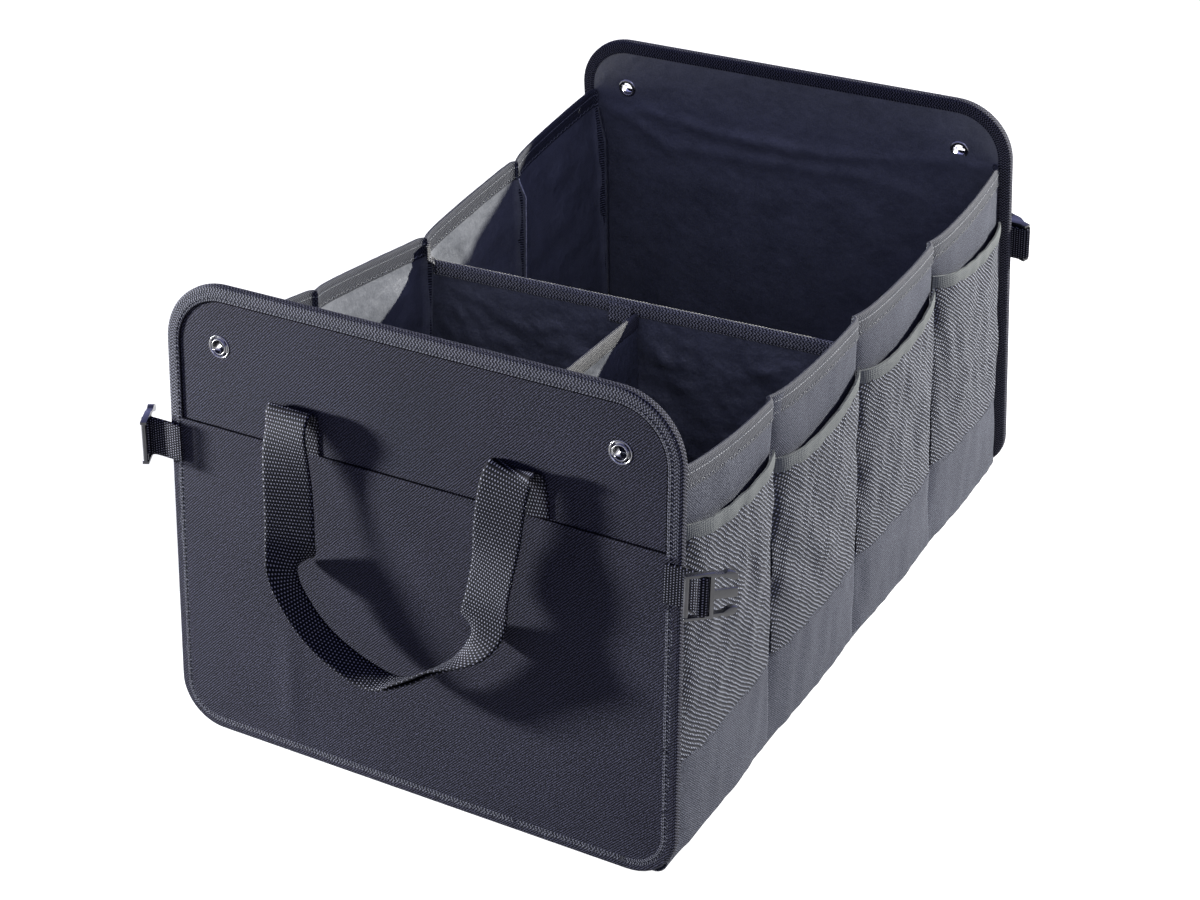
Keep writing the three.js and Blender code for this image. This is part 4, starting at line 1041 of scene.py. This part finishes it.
tab_x = np.linspace(CROSS_X - 2.6, CROSS_X - 21, 12)
tab_level = divider_top(-10) - 9
tab_path = np.stack([tab_x, divider_y(tab_level) - 3.55 + 0 * tab_x, tab_level + 0 * tab_x], -1)
upright = np.broadcast_to((0, 0, 1.0), tab_path.shape)
strap("cross_divider_tab_webbing", tab_path, upright, 14, 1.2, divider_tape, ["cross_divider_tab"])

# A short length of webbing ties the main divider's left end up to the rim at the pleat.
tie_z = np.linspace(241, 222, 24)
tie_x = -(main_reach("left", tie_z) - 1.9)
tie_path = np.stack([tie_x, divider_y(tie_z) - 1.2 + 0 * tie_x, tie_z], -1)
sideways = np.broadcast_to((0.35, -1.0, 0), tie_path.shape)
strap("left_tie_webbing", tie_path, sideways, 8.5, 1.2, cross_tape, [])


# A pale floor and soft studio light: one strong light from behind on the right, one that grazes the
# front panel from the left, and an even glow all round.

floor_finish = Finish(
    "studio_floor", Roughness=0.9, Base_Color=(0.12, 0.12, 0.12, 1), Emission_Color=(1, 1, 1, 1), Emission_Strength=1.0)
bpy.ops.mesh.primitive_circle_add(vertices=96, radius=12, fill_type="NGON", location=(0, 0, -0.0006))
studio_floor = bpy.context.object
studio_floor.name = "studio_floor"
studio_floor.data.materials.append(floor_finish.material)


def light(name, kind, power, towards, colour, **settings):
    """A light that shines in one direction."""
    data = bpy.data.lights.new(name, kind)
    data.energy, data.color = power, colour
    lamp = bpy.data.objects.new(name, data)
    lamp.location = settings.pop("location", (0, 0, 3))
    for key, value in settings.items():
        setattr(data, key, value)
    lamp.rotation_mode = "QUATERNION"
    lamp.rotation_quaternion = Vector(towards).to_track_quat("-Z", "Y")
    bpy.context.scene.collection.objects.link(lamp)


behind = dict(location=(1.23, 1.47, 1.04), spot_size=math.radians(70), spot_blend=0.3, shadow_soft_size=0.038)
light("rear_right_light", "SPOT", 790.0, (-1.0, -1.05, -0.6), (1.0, 0.98, 0.93), **behind)
light("fill_light", "SUN", 0.36, (-0.42, 0.77, -0.55), (0.72, 0.74, 1.0), angle=math.radians(25.0))
beside = dict(location=(-1.29, -0.685, 0.275), spot_size=math.radians(30), spot_blend=0.45, shadow_soft_size=0.075)
light("left_light", "SPOT", 600.0, (0.8, 0.245, -0.06), (0.97, 0.98, 1.0), **beside)

world = bpy.data.worlds.new("studio")
world.use_nodes = True
world.node_tree.nodes["Background"].inputs["Color"].default_value = (0.66, 0.69, 1.4, 1)
world.node_tree.nodes["Background"].inputs["Strength"].default_value = 0.61
bpy.context.scene.world = world
bpy.context.scene.view_settings.view_transform = "Standard"

camera = bpy.data.objects.new("camera", bpy.data.cameras.new("camera"))
camera.data.lens, camera.data.sensor_width = 68.055, 36
camera.data.clip_start, camera.data.clip_end = 0.05, 50
camera.location = (0.6609, -1.2580, 0.8955)
camera.rotation_euler = (math.radians(90 - 28.92), 0, math.radians(28.65))
bpy.context.scene.collection.objects.link(camera)
bpy.context.scene.camera = camera
